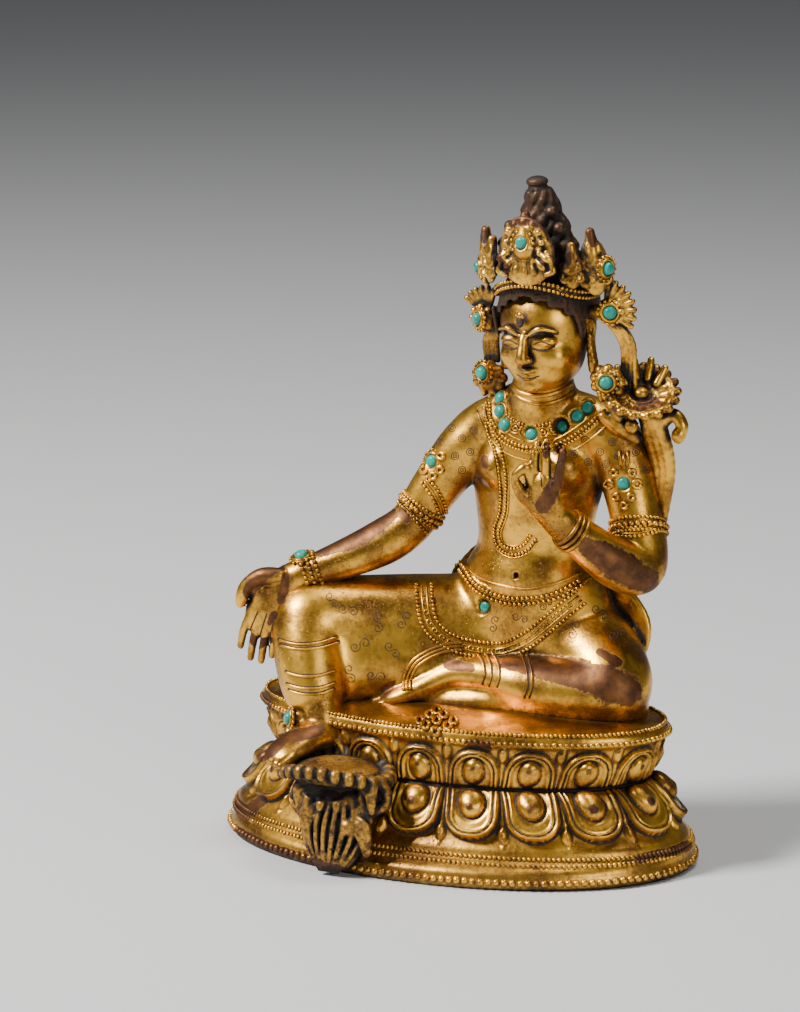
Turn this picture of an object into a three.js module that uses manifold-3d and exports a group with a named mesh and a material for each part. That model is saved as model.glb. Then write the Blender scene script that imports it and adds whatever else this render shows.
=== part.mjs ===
// A small gilt copper figure of a seated Tara in the pose of royal ease, cast in one with its double lotus
// plinth and the lotus under the right foot. Turquoise cabochons are inlaid in sunk seats.
// Millimetres, +Z up, the front towards -Y. The origin is the middle of the plinth's underside.
import * as THREE from "three";
import { mergeVertices } from "three/addons/utils/BufferGeometryUtils.js";
import Module from "manifold-3d";

const wasm = await Module();
wasm.setup();

// Plinth
const PLINTH_HALF_WIDTH = 52.6;
const PLATE_HALF_WIDTH = 45.6;
const WAIST_HALF_WIDTH = 41.2;
const FOOT_DEPTH_RATIO = 0.61; // depth over width of the outline at the floor
const RIM_DEPTH_RATIO = 0.54; // at the middle rim
const PLATE_DEPTH_RATIO = 0.49; // and at the plate
const PLATE_HEIGHT = 29.2; // the edge that carries the beads
const PLATE_SHIFT = 0.85; // the plate and the figure are cast this far towards +X
const CUSHION_RISE = 2.2; // the seat swells above the plate's edge
const FOOT_RIM_HEIGHT = 3;
const MIDDLE_RIM_HEIGHT = 6.2;
const PETAL_FOOT_HEIGHT = 10.4;
const WAIST_HEIGHT = 18.3;
// Petals
const PETAL_COUNT = 18;
const LOWER_PETAL_SWELL = 2.4;
const UPPER_PETAL_SWELL = 1.5;
// Figure
const FIGURE_HEIGHT = 112.7; // from the seat to the top of the chignon
const FIGURE_SCALE = FIGURE_HEIGHT / 113.6; // the pose below is written for the second of these heights
const SEAT_SINK = 0.7; // from the plate's edge down to the foot of the pose
const SEAT_HEIGHT = PLATE_HEIGHT - SEAT_SINK;
const BACK_RISE = 0.032; // the casting leans forward: its height grows by this share towards the back
const LEFT_FALL = 0.014; // and falls by this share towards +X
// Stones
const STONE_RADIUS = 1.45;
const STONE_HEIGHT = 1.7;
const STONE_CLEARANCE = 0.3; // under and round each stone, where its setting wax is
const STONE_SEAT_DEPTH = 0.7; // from the skin down to the seat's floor
const STONE_SIDES = 6;

const GOLD = new THREE.MeshStandardMaterial({ color: 0xc9973a, roughness: 0.32, metalness: 1 });
const TURQUOISE = new THREE.MeshStandardMaterial({ color: 0x1fa08c, roughness: 0.35, metalness: 0 });

const vector = (x, y, z) => new THREE.Vector3(x, y, z);
const posed = (x, y, z) =>
  vector(x, y, z + BACK_RISE * y - LEFT_FALL * x)
    .multiplyScalar(FIGURE_SCALE)
    .add(vector(PLATE_SHIFT, 0, SEAT_HEIGHT));
const posedSize = (size) => size * FIGURE_SCALE;
const mix = (a, b, t) => a + (b - a) * t;

// Solids

function solid(geometry) {
  const bare = geometry.index ? geometry.toNonIndexed() : geometry.clone();
  const points = new THREE.BufferGeometry().setAttribute("position", bare.getAttribute("position"));
  const merged = mergeVertices(points, 1e-4);
  const triVerts = new Uint32Array(merged.index.array);
  const made = (order) =>
    new wasm.Manifold(
      new wasm.Mesh({ numProp: 3, vertProperties: merged.attributes.position.array, triVerts: order }),
    );
  const first = made(triVerts);
  if (first.volume() > 0) return first;
  const turned = triVerts.slice();
  for (let i = 0; i < turned.length; i += 3) [turned[i + 1], turned[i + 2]] = [turned[i + 2], turned[i + 1]];
  return made(turned);
}

function geometryOf(manifold) {
  const mesh = manifold.getMesh();
  const points = new Float32Array(mesh.numVert * 3);
  for (let i = 0; i < mesh.numVert; i++) {
    points.set(mesh.vertProperties.subarray(i * mesh.numProp, i * mesh.numProp + 3), i * 3);
  }
  const geometry = new THREE.BufferGeometry();
  geometry.setAttribute("position", new THREE.BufferAttribute(points, 3));
  geometry.setIndex(new THREE.BufferAttribute(mesh.triVerts, 1));
  return geometry;
}

const joined = (pieces) => pieces.reduce((all, piece) => all.add(piece));

// A closed skin over rings of equally many points, with an apex at each end.
function skinned(rings, startApex, endApex) {
  const sides = rings[0].length;
  const points = [startApex, ...rings.flat(), endApex].flatMap((p) => p.toArray());
  const last = rings.length * sides + 1;
  const index = [];
  for (let side = 0; side < sides; side++) {
    const next = (side + 1) % sides;
    index.push(0, 1 + next, 1 + side);
    for (let ring = 0; ring < rings.length - 1; ring++) {
      const [low, high] = [1 + ring * sides, 1 + (ring + 1) * sides];
      index.push(low + side, low + next, high + next, low + side, high + next, high + side);
    }
    const top = 1 + (rings.length - 1) * sides;
    index.push(last, top + side, top + next);
  }
  const geometry = new THREE.BufferGeometry();
  geometry.setAttribute("position", new THREE.BufferAttribute(new Float32Array(points), 3));
  geometry.setIndex(index);
  return solid(geometry);
}

// A limb through stations [x, y, z, half width, half depth] of the pose, with domed ends. The half width
// lies across `flat`, the direction in which the section is thinner or thicker.
function limb(stations, { sides = 8, steps = 6, flat = [0, 1, 0], dome = 0.8 } = {}) {
  const line = new THREE.CatmullRomCurve3(stations.map(([x, y, z]) => posed(x, y, z)), false, "centripetal");
  const sizes = stations.map(([, , , wide, deep = wide]) => vector(posedSize(wide), posedSize(deep), 0));
  const sizeAt = (t) => {
    const share = t * (sizes.length - 1);
    const from = Math.min(Math.floor(share), sizes.length - 2);
    return sizes[from].clone().lerp(sizes[from + 1], share - from);
  };
  const ringAt = (centre, along, size, scale) => {
    const deepWay = vector(...flat).addScaledVector(along, -along.dot(vector(...flat))).normalize();
    const wideWay = deepWay.clone().cross(along).normalize();
    return Array.from({ length: sides }, (_, side) => {
      const angle = ((side + 0.5) * 2 * Math.PI) / sides;
      return centre
        .clone()
        .addScaledVector(wideWay, size.x * scale * Math.cos(angle))
        .addScaledVector(deepWay, size.y * scale * Math.sin(angle));
    });
  };
  const rings = [];
  const ends = [];
  for (const [t, way] of [[0, -1], [1, 1]]) {
    const along = line.getTangent(t);
    const size = sizeAt(t);
    const reach = Math.min(size.x, size.y) * dome;
    const rim = line.getPoint(t).addScaledVector(along, way * reach * 0.62);
    ends.push({
      ring: ringAt(rim, along, size, 0.78),
      apex: line.getPoint(t).addScaledVector(along, way * reach),
    });
  }
  rings.push(ends[0].ring);
  for (let step = 0; step <= steps; step++) {
    const t = step / steps;
    rings.push(ringAt(line.getPoint(t), line.getTangent(t), sizeAt(t), 1));
  }
  rings.push(ends[1].ring);
  return skinned(rings, ends[0].apex, ends[1].apex);
}

// An egg at a point of the pose, turned by Euler angles in degrees.
function egg([x, y, z], [rx, ry, rz], { turn = [0, 0, 0], around = 8, down = 6 } = {}) {
  const geometry = new THREE.SphereGeometry(1, around, down);
  geometry.rotateX(Math.PI / 2);
  geometry.scale(posedSize(rx), posedSize(ry), posedSize(rz));
  const angles = turn.map(THREE.MathUtils.degToRad);
  geometry.applyMatrix4(new THREE.Matrix4().makeRotationFromEuler(new THREE.Euler(...angles)));
  geometry.translate(...posed(x, y, z).toArray());
  return solid(geometry);
}

// Plinth

function depthRatio(z) {
  if (z <= FOOT_RIM_HEIGHT) return FOOT_DEPTH_RATIO;
  const share = (z - MIDDLE_RIM_HEIGHT) / (PLATE_HEIGHT - MIDDLE_RIM_HEIGHT);
  return mix(RIM_DEPTH_RATIO, PLATE_DEPTH_RATIO, Math.min(1, Math.max(0, share)));
}

const shiftAt = (z) => PLATE_SHIFT * Math.min(1, z / WAIST_HEIGHT);

// Angles that part an ellipse of this width and depth ratio into stretches of equal length.
function evenAngles(halfWidth, ratio, count) {
  const fine = 720;
  const point = (i) => {
    const angle = (2 * Math.PI * i) / fine - Math.PI / 2;
    return [halfWidth * Math.cos(angle), halfWidth * ratio * Math.sin(angle), angle];
  };
  const lengths = [0];
  for (let i = 1; i <= fine; i++) {
    const [x0, y0] = point(i - 1);
    const [x1, y1] = point(i);
    lengths.push(lengths[i - 1] + Math.hypot(x1 - x0, y1 - y0));
  }
  return Array.from({ length: count }, (_, n) => {
    const wanted = (lengths[fine] * n) / count;
    return point(lengths.findIndex((length) => length >= wanted))[2];
  });
}

// The plinth is one skin of three columns to a petal: the cleft and the two sides of the petal's face.
// A level is [half width, height, how far the face swells out, how far the cleft lies in, the cleft's rise].
function plinth() {
  const petalTip = PLINTH_HALF_WIDTH - 5.2;
  const petalLap = mix(petalTip, WAIST_HALF_WIDTH, 0.36);
  const plateLap = mix(WAIST_HALF_WIDTH, PLATE_HALF_WIDTH, 0.4);
  const levels = [
    [PLINTH_HALF_WIDTH - 0.8, 0, 0, 0, 0],
    [PLINTH_HALF_WIDTH, FOOT_RIM_HEIGHT * 0.5, 0, 0, 0],
    [PLINTH_HALF_WIDTH - 0.8, FOOT_RIM_HEIGHT, 0, 0, 0],
    [PLINTH_HALF_WIDTH - 1.2, MIDDLE_RIM_HEIGHT, 0, 0, 0],
    [PLINTH_HALF_WIDTH - 2.2, MIDDLE_RIM_HEIGHT + 1.2, 0, 0, 0],
    [petalTip, PETAL_FOOT_HEIGHT, LOWER_PETAL_SWELL * 0.6, 1.2, 2.2],
    [petalLap, mix(PETAL_FOOT_HEIGHT, WAIST_HEIGHT, 0.48), LOWER_PETAL_SWELL, 1, 1],
    [WAIST_HALF_WIDTH + 0.8, WAIST_HEIGHT - 1, 0.5, 0.4, 0],
    [WAIST_HALF_WIDTH - 0.4, WAIST_HEIGHT, 0, 0, 0],
    [plateLap, mix(WAIST_HEIGHT, PLATE_HEIGHT, 0.4), UPPER_PETAL_SWELL, 0.6, 0],
    [PLATE_HALF_WIDTH - 1.8, PLATE_HEIGHT - 2.2, 0.6, 1, -1.4],
    [PLATE_HALF_WIDTH, PLATE_HEIGHT - 0.8, 0, 0, 0],
    [PLATE_HALF_WIDTH - 0.6, PLATE_HEIGHT + 0.6, 0, 0, 0],
  ];
  const middle = evenAngles(petalLap, depthRatio(PETAL_FOOT_HEIGHT), PETAL_COUNT);
  const ring = ([halfWidth, height, swell, cleft, rise]) =>
    middle.flatMap((angle, n) => {
      const before = n === 0 ? middle[PETAL_COUNT - 1] - 2 * Math.PI : middle[n - 1];
      const after = n === PETAL_COUNT - 1 ? middle[0] + 2 * Math.PI : middle[n + 1];
      const columns = [
        [(before + angle) / 2, -cleft, rise],
        [mix(before, angle, 0.78), swell, 0],
        [mix(angle, after, 0.22), swell, 0],
      ];
      return columns.map(([turn, out, lift]) => {
        const z = height + lift;
        const reach = halfWidth + out;
        const deep = halfWidth * depthRatio(height) + out;
        return vector(shiftAt(z) + reach * Math.cos(turn), deep * Math.sin(turn), z);
      });
    });
  const top = PLATE_HEIGHT + 0.6 + CUSHION_RISE;
  return skinned(levels.map(ring), vector(0, 0, 0), vector(PLATE_SHIFT, 0, top));
}

// Figure: each function gives a list of solids in the pose's own millimetres

function torso() {
  return [
    limb(
      [
        [11, 11.5, 6, 15, 8.5],
        [11, 11, 14, 18.5, 10.5],
        [11.5, 10, 22, 16, 9.6],
        [12.2, 8.8, 29, 11.8, 7.8],
        [12.6, 8.3, 36, 10.8, 7],
        [13.2, 8, 44, 12, 7.6],
        [13.9, 7.6, 52, 13.6, 8],
        [14.6, 7.4, 58, 14.6, 6.6],
        [15, 7, 62, 10.5, 5.4],
      ],
      { sides: 10, steps: 8, flat: [0, 1, 0], dome: 0.5 },
    ),
    limb(
      [[-2, 8.4, 59.4, 4], [6, 7.6, 62.6, 4.6], [15, 7, 64.4, 5], [24, 7.8, 64, 4.8], [31, 8.6, 60.4, 4.6]],
      { sides: 6, steps: 4 },
    ),
    egg([7.2, 1.8, 53.4], [4.3, 3.8, 4.4], { around: 7, down: 5 }),
    egg([21.6, 1.8, 54.2], [4.3, 3.8, 4.4], { around: 7, down: 5 }),
    limb([[15, 6.8, 60, 6.4, 5.4], [15.4, 6, 66, 5.4, 5], [16.2, 4.6, 72, 5.6, 5.4]], { sides: 8, steps: 2 }),
  ];
}

function rightArm() {
  return [
    limb(
      [
        [1, 8, 58.4, 5.6],
        [-3.6, 7, 54, 5.6],
        [-9, 5, 46, 4.7],
        [-13.2, 3, 38.4, 4.2],
        [-18.6, 0, 34.6, 4.2],
        [-26, -4, 31, 3.6],
        [-32.4, -7.2, 28.4, 2.9],
        [-36, -9, 26.8, 2.9, 2.4],
      ],
      { sides: 7, steps: 9 },
    ),
    // palm, fingers and thumb, the palm turned outwards over the knee
    limb(
      [[-36.4, -9.4, 27, 3, 2], [-39.6, -11.4, 23, 4.2, 1.9], [-41.6, -12.2, 18.4, 3.9, 1.7]],
      { sides: 6, steps: 2 },
    ),
    ...[
      [-39, -11.8, 17.6, -41.6, -12.2, 11.4],
      [-41, -12.2, 17.6, -43.2, -12.8, 10.4],
      [-42.8, -12.5, 17.8, -44.8, -13, 11],
      [-44.2, -12.7, 18.6, -46, -13, 13],
    ].map(([x0, y0, z0, x1, y1, z1]) =>
      limb([[x0, y0, z0, 1.15], [x1, y1, z1, 0.95]], { sides: 5, steps: 1 }),
    ),
    limb(
      [[-37, -11, 28.6, 1.7], [-42, -12.6, 27.4, 1.5], [-44.8, -13.4, 24.6, 1.3], [-45.4, -13.6, 21.6, 1.1]],
      { sides: 5, steps: 3 },
    ),
  ];
}

function leftArm() {
  return [
    limb(
      [
        [31.4, 8.6, 59.4, 5.2],
        [33.6, 8.4, 54, 5.4],
        [35.6, 7.4, 46, 5],
        [38.4, 5.4, 38.6, 5],
        [39, 2.6, 34, 4.9],
        [35.4, -2, 36.2, 4.6],
        [30.4, -6, 41, 3.7],
        [26.8, -9, 45, 3],
        [25.4, -10.4, 47, 2.8, 2.4],
      ],
      { sides: 7, steps: 9, flat: [0.3, 1, 0] },
    ),
    limb(
      [[25, -11, 47, 2.9, 2], [23.6, -12.4, 50.6, 3.5, 1.9], [23, -13, 54.6, 3.3, 1.6]],
      { sides: 6, steps: 2 },
    ),
    limb([[22.6, -13.2, 54, 1.2], [22.6, -13.4, 58.6, 1.1], [23.4, -13, 62.2, 0.9]], { sides: 5, steps: 2 }),
    limb([[24, -13, 55, 1.2], [24.6, -13, 59.4, 1.1], [24, -12.6, 63.2, 0.9]], { sides: 5, steps: 2 }),
    limb([[25.6, -12.8, 53, 1.3], [27, -13, 57, 1.2], [28, -13.2, 61.4, 0.9]], { sides: 5, steps: 2 }),
    limb([[21.4, -13.4, 54.4, 1.3], [20.6, -14.6, 58, 1.1], [18.4, -15.6, 56, 1]], { sides: 5, steps: 2 }),
    limb([[22.4, -12.6, 49.6, 1.6], [19.6, -14.2, 51.6, 1.3], [18.2, -15.4, 55, 1]], { sides: 5, steps: 2 }),
  ];
}

function rightLeg() {
  return [
    limb(
      [
        [2, 9.6, 16, 9.6],
        [-8, 6.6, 17, 9.2],
        [-19, 1.4, 17.6, 8.6],
        [-28, -4.6, 18.6, 7.6],
        [-32.6, -8, 19, 7.2],
      ],
      { sides: 8, steps: 4, dome: 1 },
    ),
    limb(
      [[-32.4, -8, 18.4, 7], [-29.6, -11.6, 10.4, 6.6], [-27, -14.4, 4.6, 6]],
      { sides: 8, steps: 3, dome: 0.3 },
    ),
    limb([[-27, -14.4, 6, 4.6], [-24.8, -16.8, 0.6, 4.2], [-24, -17.6, -2, 4.2]], { sides: 8, steps: 2 }),
    // foot on its lotus
    limb([[-22.6, -15.6, -3, 3.2, 3.2], [-25.6, -21, -2.6, 3.9, 3], [-29, -27.4, -4.6, 4.3, 1.9]], {
      sides: 8,
      steps: 3,
      flat: [0, 0, 1],
    }),
    limb([[-28, -29.6, -5.4, 3.6, 1.1], [-29.6, -32, -6, 3.2, 0.9]], { sides: 6, steps: 1, flat: [0, 0, 1] }),
    // the skirt stretched between knee and seat
    limb([[-29, -9, 10, 5, 9], [-18, -2.4, 9, 6.4, 9.6], [-4, 3.6, 8.6, 8, 9.4], [6, 7, 8, 8, 8]], {
      sides: 8,
      steps: 3,
      flat: [0, 0, 1],
    }),
  ];
}

function leftLeg() {
  return [
    limb([[19.6, 10.6, 14.6, 9], [27, 8.4, 13, 8.4], [31.4, 5, 9.8, 7.4], [33.2, 2, 8, 6.6]], {
      sides: 10,
      steps: 4,
      dome: 1,
    }),
    limb(
      [
        [32.8, 1.4, 7.8, 6.4],
        [26.4, -0.4, 7.4, 6],
        [19, -1.6, 7.6, 5.8],
        [10.6, -2.2, 8.8, 5],
        [3.6, -2.6, 9.6, 4],
        [-2, -3.6, 8.8, 3.5, 3.2],
        [-9, -6, 5.6, 3.4, 2.4],
        [-14, -8, 3.4, 3, 1.4],
        [-17, -8.4, 2.6, 2.4, 1],
      ],
      { sides: 7, steps: 8, flat: [0, 0, 1] },
    ),
    // the garment under the crossed leg
    limb([[-10, 0, 3.4, 6, 2.6], [8, 2, 4.4, 8, 4], [26, 5, 4.4, 8, 4], [36, 4, 3.6, 6, 3]], {
      sides: 8,
      steps: 3,
      flat: [0, 0, 1],
    }),
  ];
}

// The head leans to its right. Its parts are laid out in a frame of its own: x to its left, y back, z up.
const HEAD = { at: [17, 3.4, 82], turn: [6, -4, -6] };

function headPoint(x, y, z) {
  const angles = HEAD.turn.map(THREE.MathUtils.degToRad);
  return vector(x, y, z).applyEuler(new THREE.Euler(...angles)).add(vector(...HEAD.at)).toArray();
}

function head() {
  const part = (at, size, options = {}) => egg(headPoint(...at), size, { turn: HEAD.turn, ...options });
  const strand = (stations, options) =>
    limb(stations.map(([x, y, z, ...sizes]) => [...headPoint(x, y, z), ...sizes]), options);
  const pieces = [
    part([0.4, 0.6, 1.6], [10.2, 9.4, 10.4], { around: 12, down: 8 }),
    part([0.3, -1.6, -5], [8.2, 7, 6.8], { around: 10, down: 7 }),
    part([0, -6.6, -9.4], [2.6, 2.2, 1.9], { around: 6, down: 4 }),
    strand([[0, -8.8, 2.2, 0.8], [0, -9.8, -1, 1], [0, -10.6, -3.2, 1.5, 1.1]], { sides: 5, steps: 2 }),
  ];
  for (const side of [-1, 1]) {
    pieces.push(
      // long-lobed ears
      strand(
        [
          [side * 9.6, 1.6, 3.4, 1.3, 1.8],
          [side * 10.2, 1.6, -1.6, 1.1, 1.5],
          [side * 10.2, 0.8, -7, 1.2, 1.2],
        ],
        { sides: 5, steps: 2 },
      ),
    );
  }
  return pieces;
}

// Hair, crown and what hangs from it
function crown() {
  const part = (at, size, options = {}) => egg(headPoint(...at), size, { turn: HEAD.turn, ...options });
  const strand = (stations, options) =>
    limb(stations.map(([x, y, z, ...sizes]) => [...headPoint(x, y, z), ...sizes]), options);
  const leafFlat = { sides: 5, steps: 2, flat: [1, -0.5, 0] };
  return [
    // hair cap and diadem band
    part([0.6, 1.6, 4.4], [10.8, 10, 10.4], { around: 10, down: 6 }),
    strand(
      [-80, -40, 0, 40, 80].map((degrees) => {
        const angle = THREE.MathUtils.degToRad(degrees);
        const [across, ahead] = [Math.sin(angle), Math.cos(angle)];
        return [1.2 + 11 * across, 1.2 - 10 * ahead, 13 - 4.4 * across ** 2, 1.3, 1.5];
      }),
      { sides: 4, steps: 6, flat: [0, 0, 1] },
    ),
    // chignon of piled locks
    strand(
      [0, 1, 2, 3, 4, 5, 6].map((lap) => {
        const girth = mix(8, 2.8, lap / 6) + (lap % 2 ? 0.6 : -0.6);
        return [1 + 0.12 * lap, 2.4 - 0.03 * lap * lap, 10 + 3.4 * lap, girth, girth * 0.9];
      }),
      { sides: 7, steps: 6 },
    ),
    part([1.4, 1, 31], [2.7, 2.2, 1.7], { around: 6, down: 4 }),
    // front plaque of the diadem
    strand(
      [
        [2.2, -7.4, 13, 5.2, 1.6],
        [2.2, -7.6, 19.6, 6, 1.7],
        [2, -6.4, 25, 4.4, 1.7],
        [1.9, -4.4, 30.2, 1.4, 1.2],
      ],
      { sides: 6, steps: 4 },
    ),
    // side leaves of the diadem
    strand([[-11.2, -2.6, 9.6, 2.8, 1.6], [-12, -2, 14.4, 2.9, 1.6], [-10.8, -1, 21.8, 1.3, 1.1]], leafFlat),
    strand([[13.8, -1.4, 9.2, 3, 1.7], [14.8, -1.2, 14.8, 2.8, 1.7], [13.1, 0, 21.9, 1.4, 1.1]], leafFlat),
    // pleated fans over the ears, behind a flower boss
    strand(
      [[-11, 0.4, 2.6, 1.6, 1.4], [-14.2, 0, 4.4, 2, 1.3], [-14.8, 0, 8, 2.2, 1]],
      { sides: 6, steps: 2 },
    ),
    part([-14.4, -0.4, 2.4], [2.4, 1.8, 2.4], { around: 6, down: 4 }),
    strand([[10.4, 0.6, 4.6, 1.8, 1.4], [16.6, 0.4, 5.6, 3.4, 1.2], [19.8, 1.2, 6.6, 4.6, 0.9]], {
      sides: 6,
      steps: 2,
      flat: [0.4, -0.9, 0],
    }),
    // ribbons behind the ears
    strand(
      [[-11, 1.8, 2, 1.4, 1], [-14.2, 2, -2, 1.2, 1], [-14.4, 1.4, -7, 1.6, 1.4]],
      { sides: 5, steps: 3 },
    ),
    strand(
      [[12.4, 2, 3, 1.4, 1], [17.6, 2.4, -2.4, 1.3, 1], [17.4, 2.6, -8, 1.3, 1], [16, 3, -13, 1.7, 1.2]],
      { sides: 5, steps: 3 },
    ),
    // ear pendants
    part([-14, -0.8, -10], [4.4, 2.6, 3.8], { around: 6, down: 4 }),
    strand([[-10.2, 0.6, -5, 1.2], [-12.6, 0, -8.6, 1.8]], { sides: 5, steps: 1 }),
    part([13.8, -0.8, -9.6], [4, 2.6, 4], { around: 6, down: 4 }),
    strand([[10.2, 0.8, -4, 1.4], [12.6, 0.2, -7.6, 1.8]], { sides: 5, steps: 1 }),
  ];
}

// A cord of ornament that lies on the skin, found by looking from the front through points [x, z].
function laidOn(skin, points, radius, { sides = 4, steps = 10, proud = 0.3, from = [0, -1, 0] } = {}) {
  const flat = new THREE.CatmullRomCurve3(points.map(([x, z]) => posed(x, 0, z)), false, "centripetal");
  const stations = [];
  for (let step = 0; step <= steps; step++) {
    const over = flat.getPoint(step / steps);
    const hit = struck(skin, over, vector(...from));
    if (hit) stations.push([...unposed(hit.point.addScaledVector(vector(...from), proud)), radius, radius]);
  }
  return limb(stations, { sides, steps: stations.length - 1, flat: from, dome: 0.5 });
}

function unposed(point) {
  const foot = vector(PLATE_SHIFT, 0, SEAT_HEIGHT);
  const [x, y, z] = point.clone().sub(foot).divideScalar(FIGURE_SCALE).toArray();
  return [x, y, z - BACK_RISE * y + LEFT_FALL * x];
}

function struck(skin, over, out) {
  const far = 60;
  const ray = new THREE.Raycaster(over.clone().addScaledVector(out, far), out.clone().negate(), 0, 2 * far);
  return ray.intersectObject(skin)[0];
}

// A band round a limb at a point of the pose, square to a direction, with a rounded edge.
function bangle([x, y, z], direction, radius, width, { around = 8 } = {}) {
  const reach = posedSize(radius);
  const half = posedSize(width / 2);
  const profile = [[0, -half], [reach, -half * 0.7], [reach, half * 0.7], [0, half]];
  const geometry = new THREE.LatheGeometry(profile.map((p) => new THREE.Vector2(...p)), around);
  const axis = vector(...direction).normalize();
  geometry.applyQuaternion(new THREE.Quaternion().setFromUnitVectors(vector(0, 1, 0), axis));
  geometry.translate(...posed(x, y, z).toArray());
  return solid(geometry);
}

function jewellery(skin) {
  const rightUpper = [-0.5, -0.25, -0.82];
  const rightFore = [-0.86, -0.42, -0.34];
  const leftFore = [-0.56, -0.55, 0.62];
  return [
    laidOn(
      skin,
      [[6.4, 67], [8, 63.6], [12, 60.6], [16.6, 59.8], [21.6, 61.6], [26, 64.6], [28.6, 67]],
      1.5,
      { steps: 7 },
    ),
    laidOn(
      skin,
      [[5, 66], [5.6, 60], [8.6, 54], [9.4, 46], [9.4, 40.6], [12, 37.4], [16, 39], [18.6, 43]],
      0.8,
      { steps: 8 },
    ),
    laidOn(skin, [[1, 33], [3, 29], [8, 26], [14, 25], [20, 26], [24, 28.6]], 1, { steps: 6 }),
    laidOn(skin, [[-4, 28], [-6, 23], [-3.4, 18.6], [3, 15.6], [11, 15.4], [18, 18.6], [24, 22.6]], 1.7, {
      steps: 8,
      proud: 0.5,
    }),
    bangle([-11.4, 3.9, 41.1], rightUpper, 5.6, 3.6),
    bangle([36.9, 6.3, 41.8], [0.18, -0.35, -0.9], 6.3, 3.6),
    bangle([-32.2, -7, 28.5], rightFore, 4.2, 3.2),
    bangle([27.6, -8.3, 44.1], leftFore, 4.5, 2.8),
    bangle([-26.9, -14.4, 4.4], [0.3, -0.4, -0.86], 7, 1.8),
    bangle([-3.6, -4, 8.4], [-0.8, -0.3, -0.4], 4.6, 2.8),
  ];
}

// An open flower with a crimped rim. The rim droops towards both sides by `droop` at its widest.
function blossom([x, y, z], [rx, ry], height, crimps, droop, tilt = 0) {
  const levels = [[0.34, -1, 0], [0.86, -0.55, 0.04], [1, 0, 0.09], [0.84, 0.26, 0.05], [0.62, -0.06, 0]];
  const ring = ([share, rise, crimp]) =>
    Array.from({ length: crimps * 2 }, (_, column) => {
      const angle = (column * Math.PI) / crimps;
      const reach = share + (column % 2 ? -crimp : crimp);
      const [dx, dy] = [rx * reach * Math.cos(angle), ry * reach * Math.sin(angle)];
      return posed(x + dx, y + dy, z + height * rise - droop * (dx / rx) ** 2 + tilt * dx);
    });
  return skinned(levels.map(ring), posed(x, y, z - height * 1.1), posed(x, y, z - height * 0.3));
}

// Lotus at the left shoulder, on a stem that rises beside the arm
function shoulderLotus() {
  return [
    limb(
      [
        [40.4, 9, 38, 1.4],
        [41.4, 9.4, 46, 2, 1.6],
        [42.4, 9, 54, 2.6, 2],
        [41, 7.4, 61, 3, 2.6],
        [39.4, 5.6, 66.6, 3.2, 3.2],
      ],
      { sides: 6, steps: 4 },
    ),
    limb(
      [[36, 6.6, 61, 1.6, 1.6], [33, 3.4, 64.6, 2.2, 1.4], [30.6, 1.6, 66.6, 1.4, 1]],
      { sides: 5, steps: 2 },
    ),
    limb(
      [[41, 7, 64.6, 1.8, 1.4], [44.2, 7, 66.4, 1.7, 1.3], [46.4, 7, 62.6, 1.4, 1.2]],
      { sides: 5, steps: 2 },
    ),
    blossom([38.8, 5, 70.6], [7.8, 7.4], 4, 7, 0, 0.16),
    egg([37.8, 5, 72.2], [2.2, 2.2, 4.6], { around: 6, down: 5 }),
  ];
}

// Lotus that carries the right foot, on a leafy stem in front of the plinth
function footLotus() {
  return [
    blossom([-16.4, -28, -5.4], [12.4, 10.2], 4.4, 10, 3),
    limb(
      [
        [-14.6, -29, -9, 4.6, 3.6],
        [-13, -31.4, -16, 3.6, 3],
        [-13.6, -33.4, -22, 3.2, 2.4],
        [-15, -34.4, -25.8, 3.4, 1.4],
      ],
      { sides: 6, steps: 4 },
    ),
    // leaf boss beside the ankle that carries a stone
    egg([-29.6, -18.4, 0], [2.4, 2.2, 2], { around: 6, down: 4 }),
    egg([-10.4, -34.4, -16.4], [1.9, 1.9, 1.9], { around: 6, down: 4 }),
    limb(
      [[-8, -31, -7.4, 2, 1.6], [-5, -31.6, -9, 2, 1.6], [-6.4, -32, -13, 1.4, 1.2]],
      { sides: 5, steps: 2 },
    ),
    limb(
      [[-17, -33, -18, 1.4], [-18.4, -33.4, -23, 1.4], [-21, -32.6, -25.4, 1.6, 1.2]],
      { sides: 5, steps: 2 },
    ),
    limb([[-10, -33, -19, 1.4], [-8.6, -33.4, -23, 1.3], [-8, -33, -25.2, 1.2]], { sides: 5, steps: 2 }),
  ];
}

// Sash ends behind the hips, and the small scroll on the front of the plate
function drapery() {
  return [
    limb(
      [
        [22, 15, 29, 2, 3],
        [27, 15.4, 26, 1.8, 3.4],
        [31, 15, 22.6, 1.6, 3],
        [31.4, 14.6, 18.6, 1.4, 2.6],
        [28, 14.6, 17.6, 1.3, 2],
      ],
      { sides: 6, steps: 4, flat: [0, 1, 0] },
    ),
    limb([[2, 13, 30, 1.8, 2.6], [-2.4, 13, 27, 1.8, 2.6], [-6, 12, 23.6, 1.8, 2.4]], { sides: 5, steps: 2 }),
    egg([-1, -18.4, 1.2], [4.2, 1.8, 2.6], { around: 6, down: 4 }),
  ];
}

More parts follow.
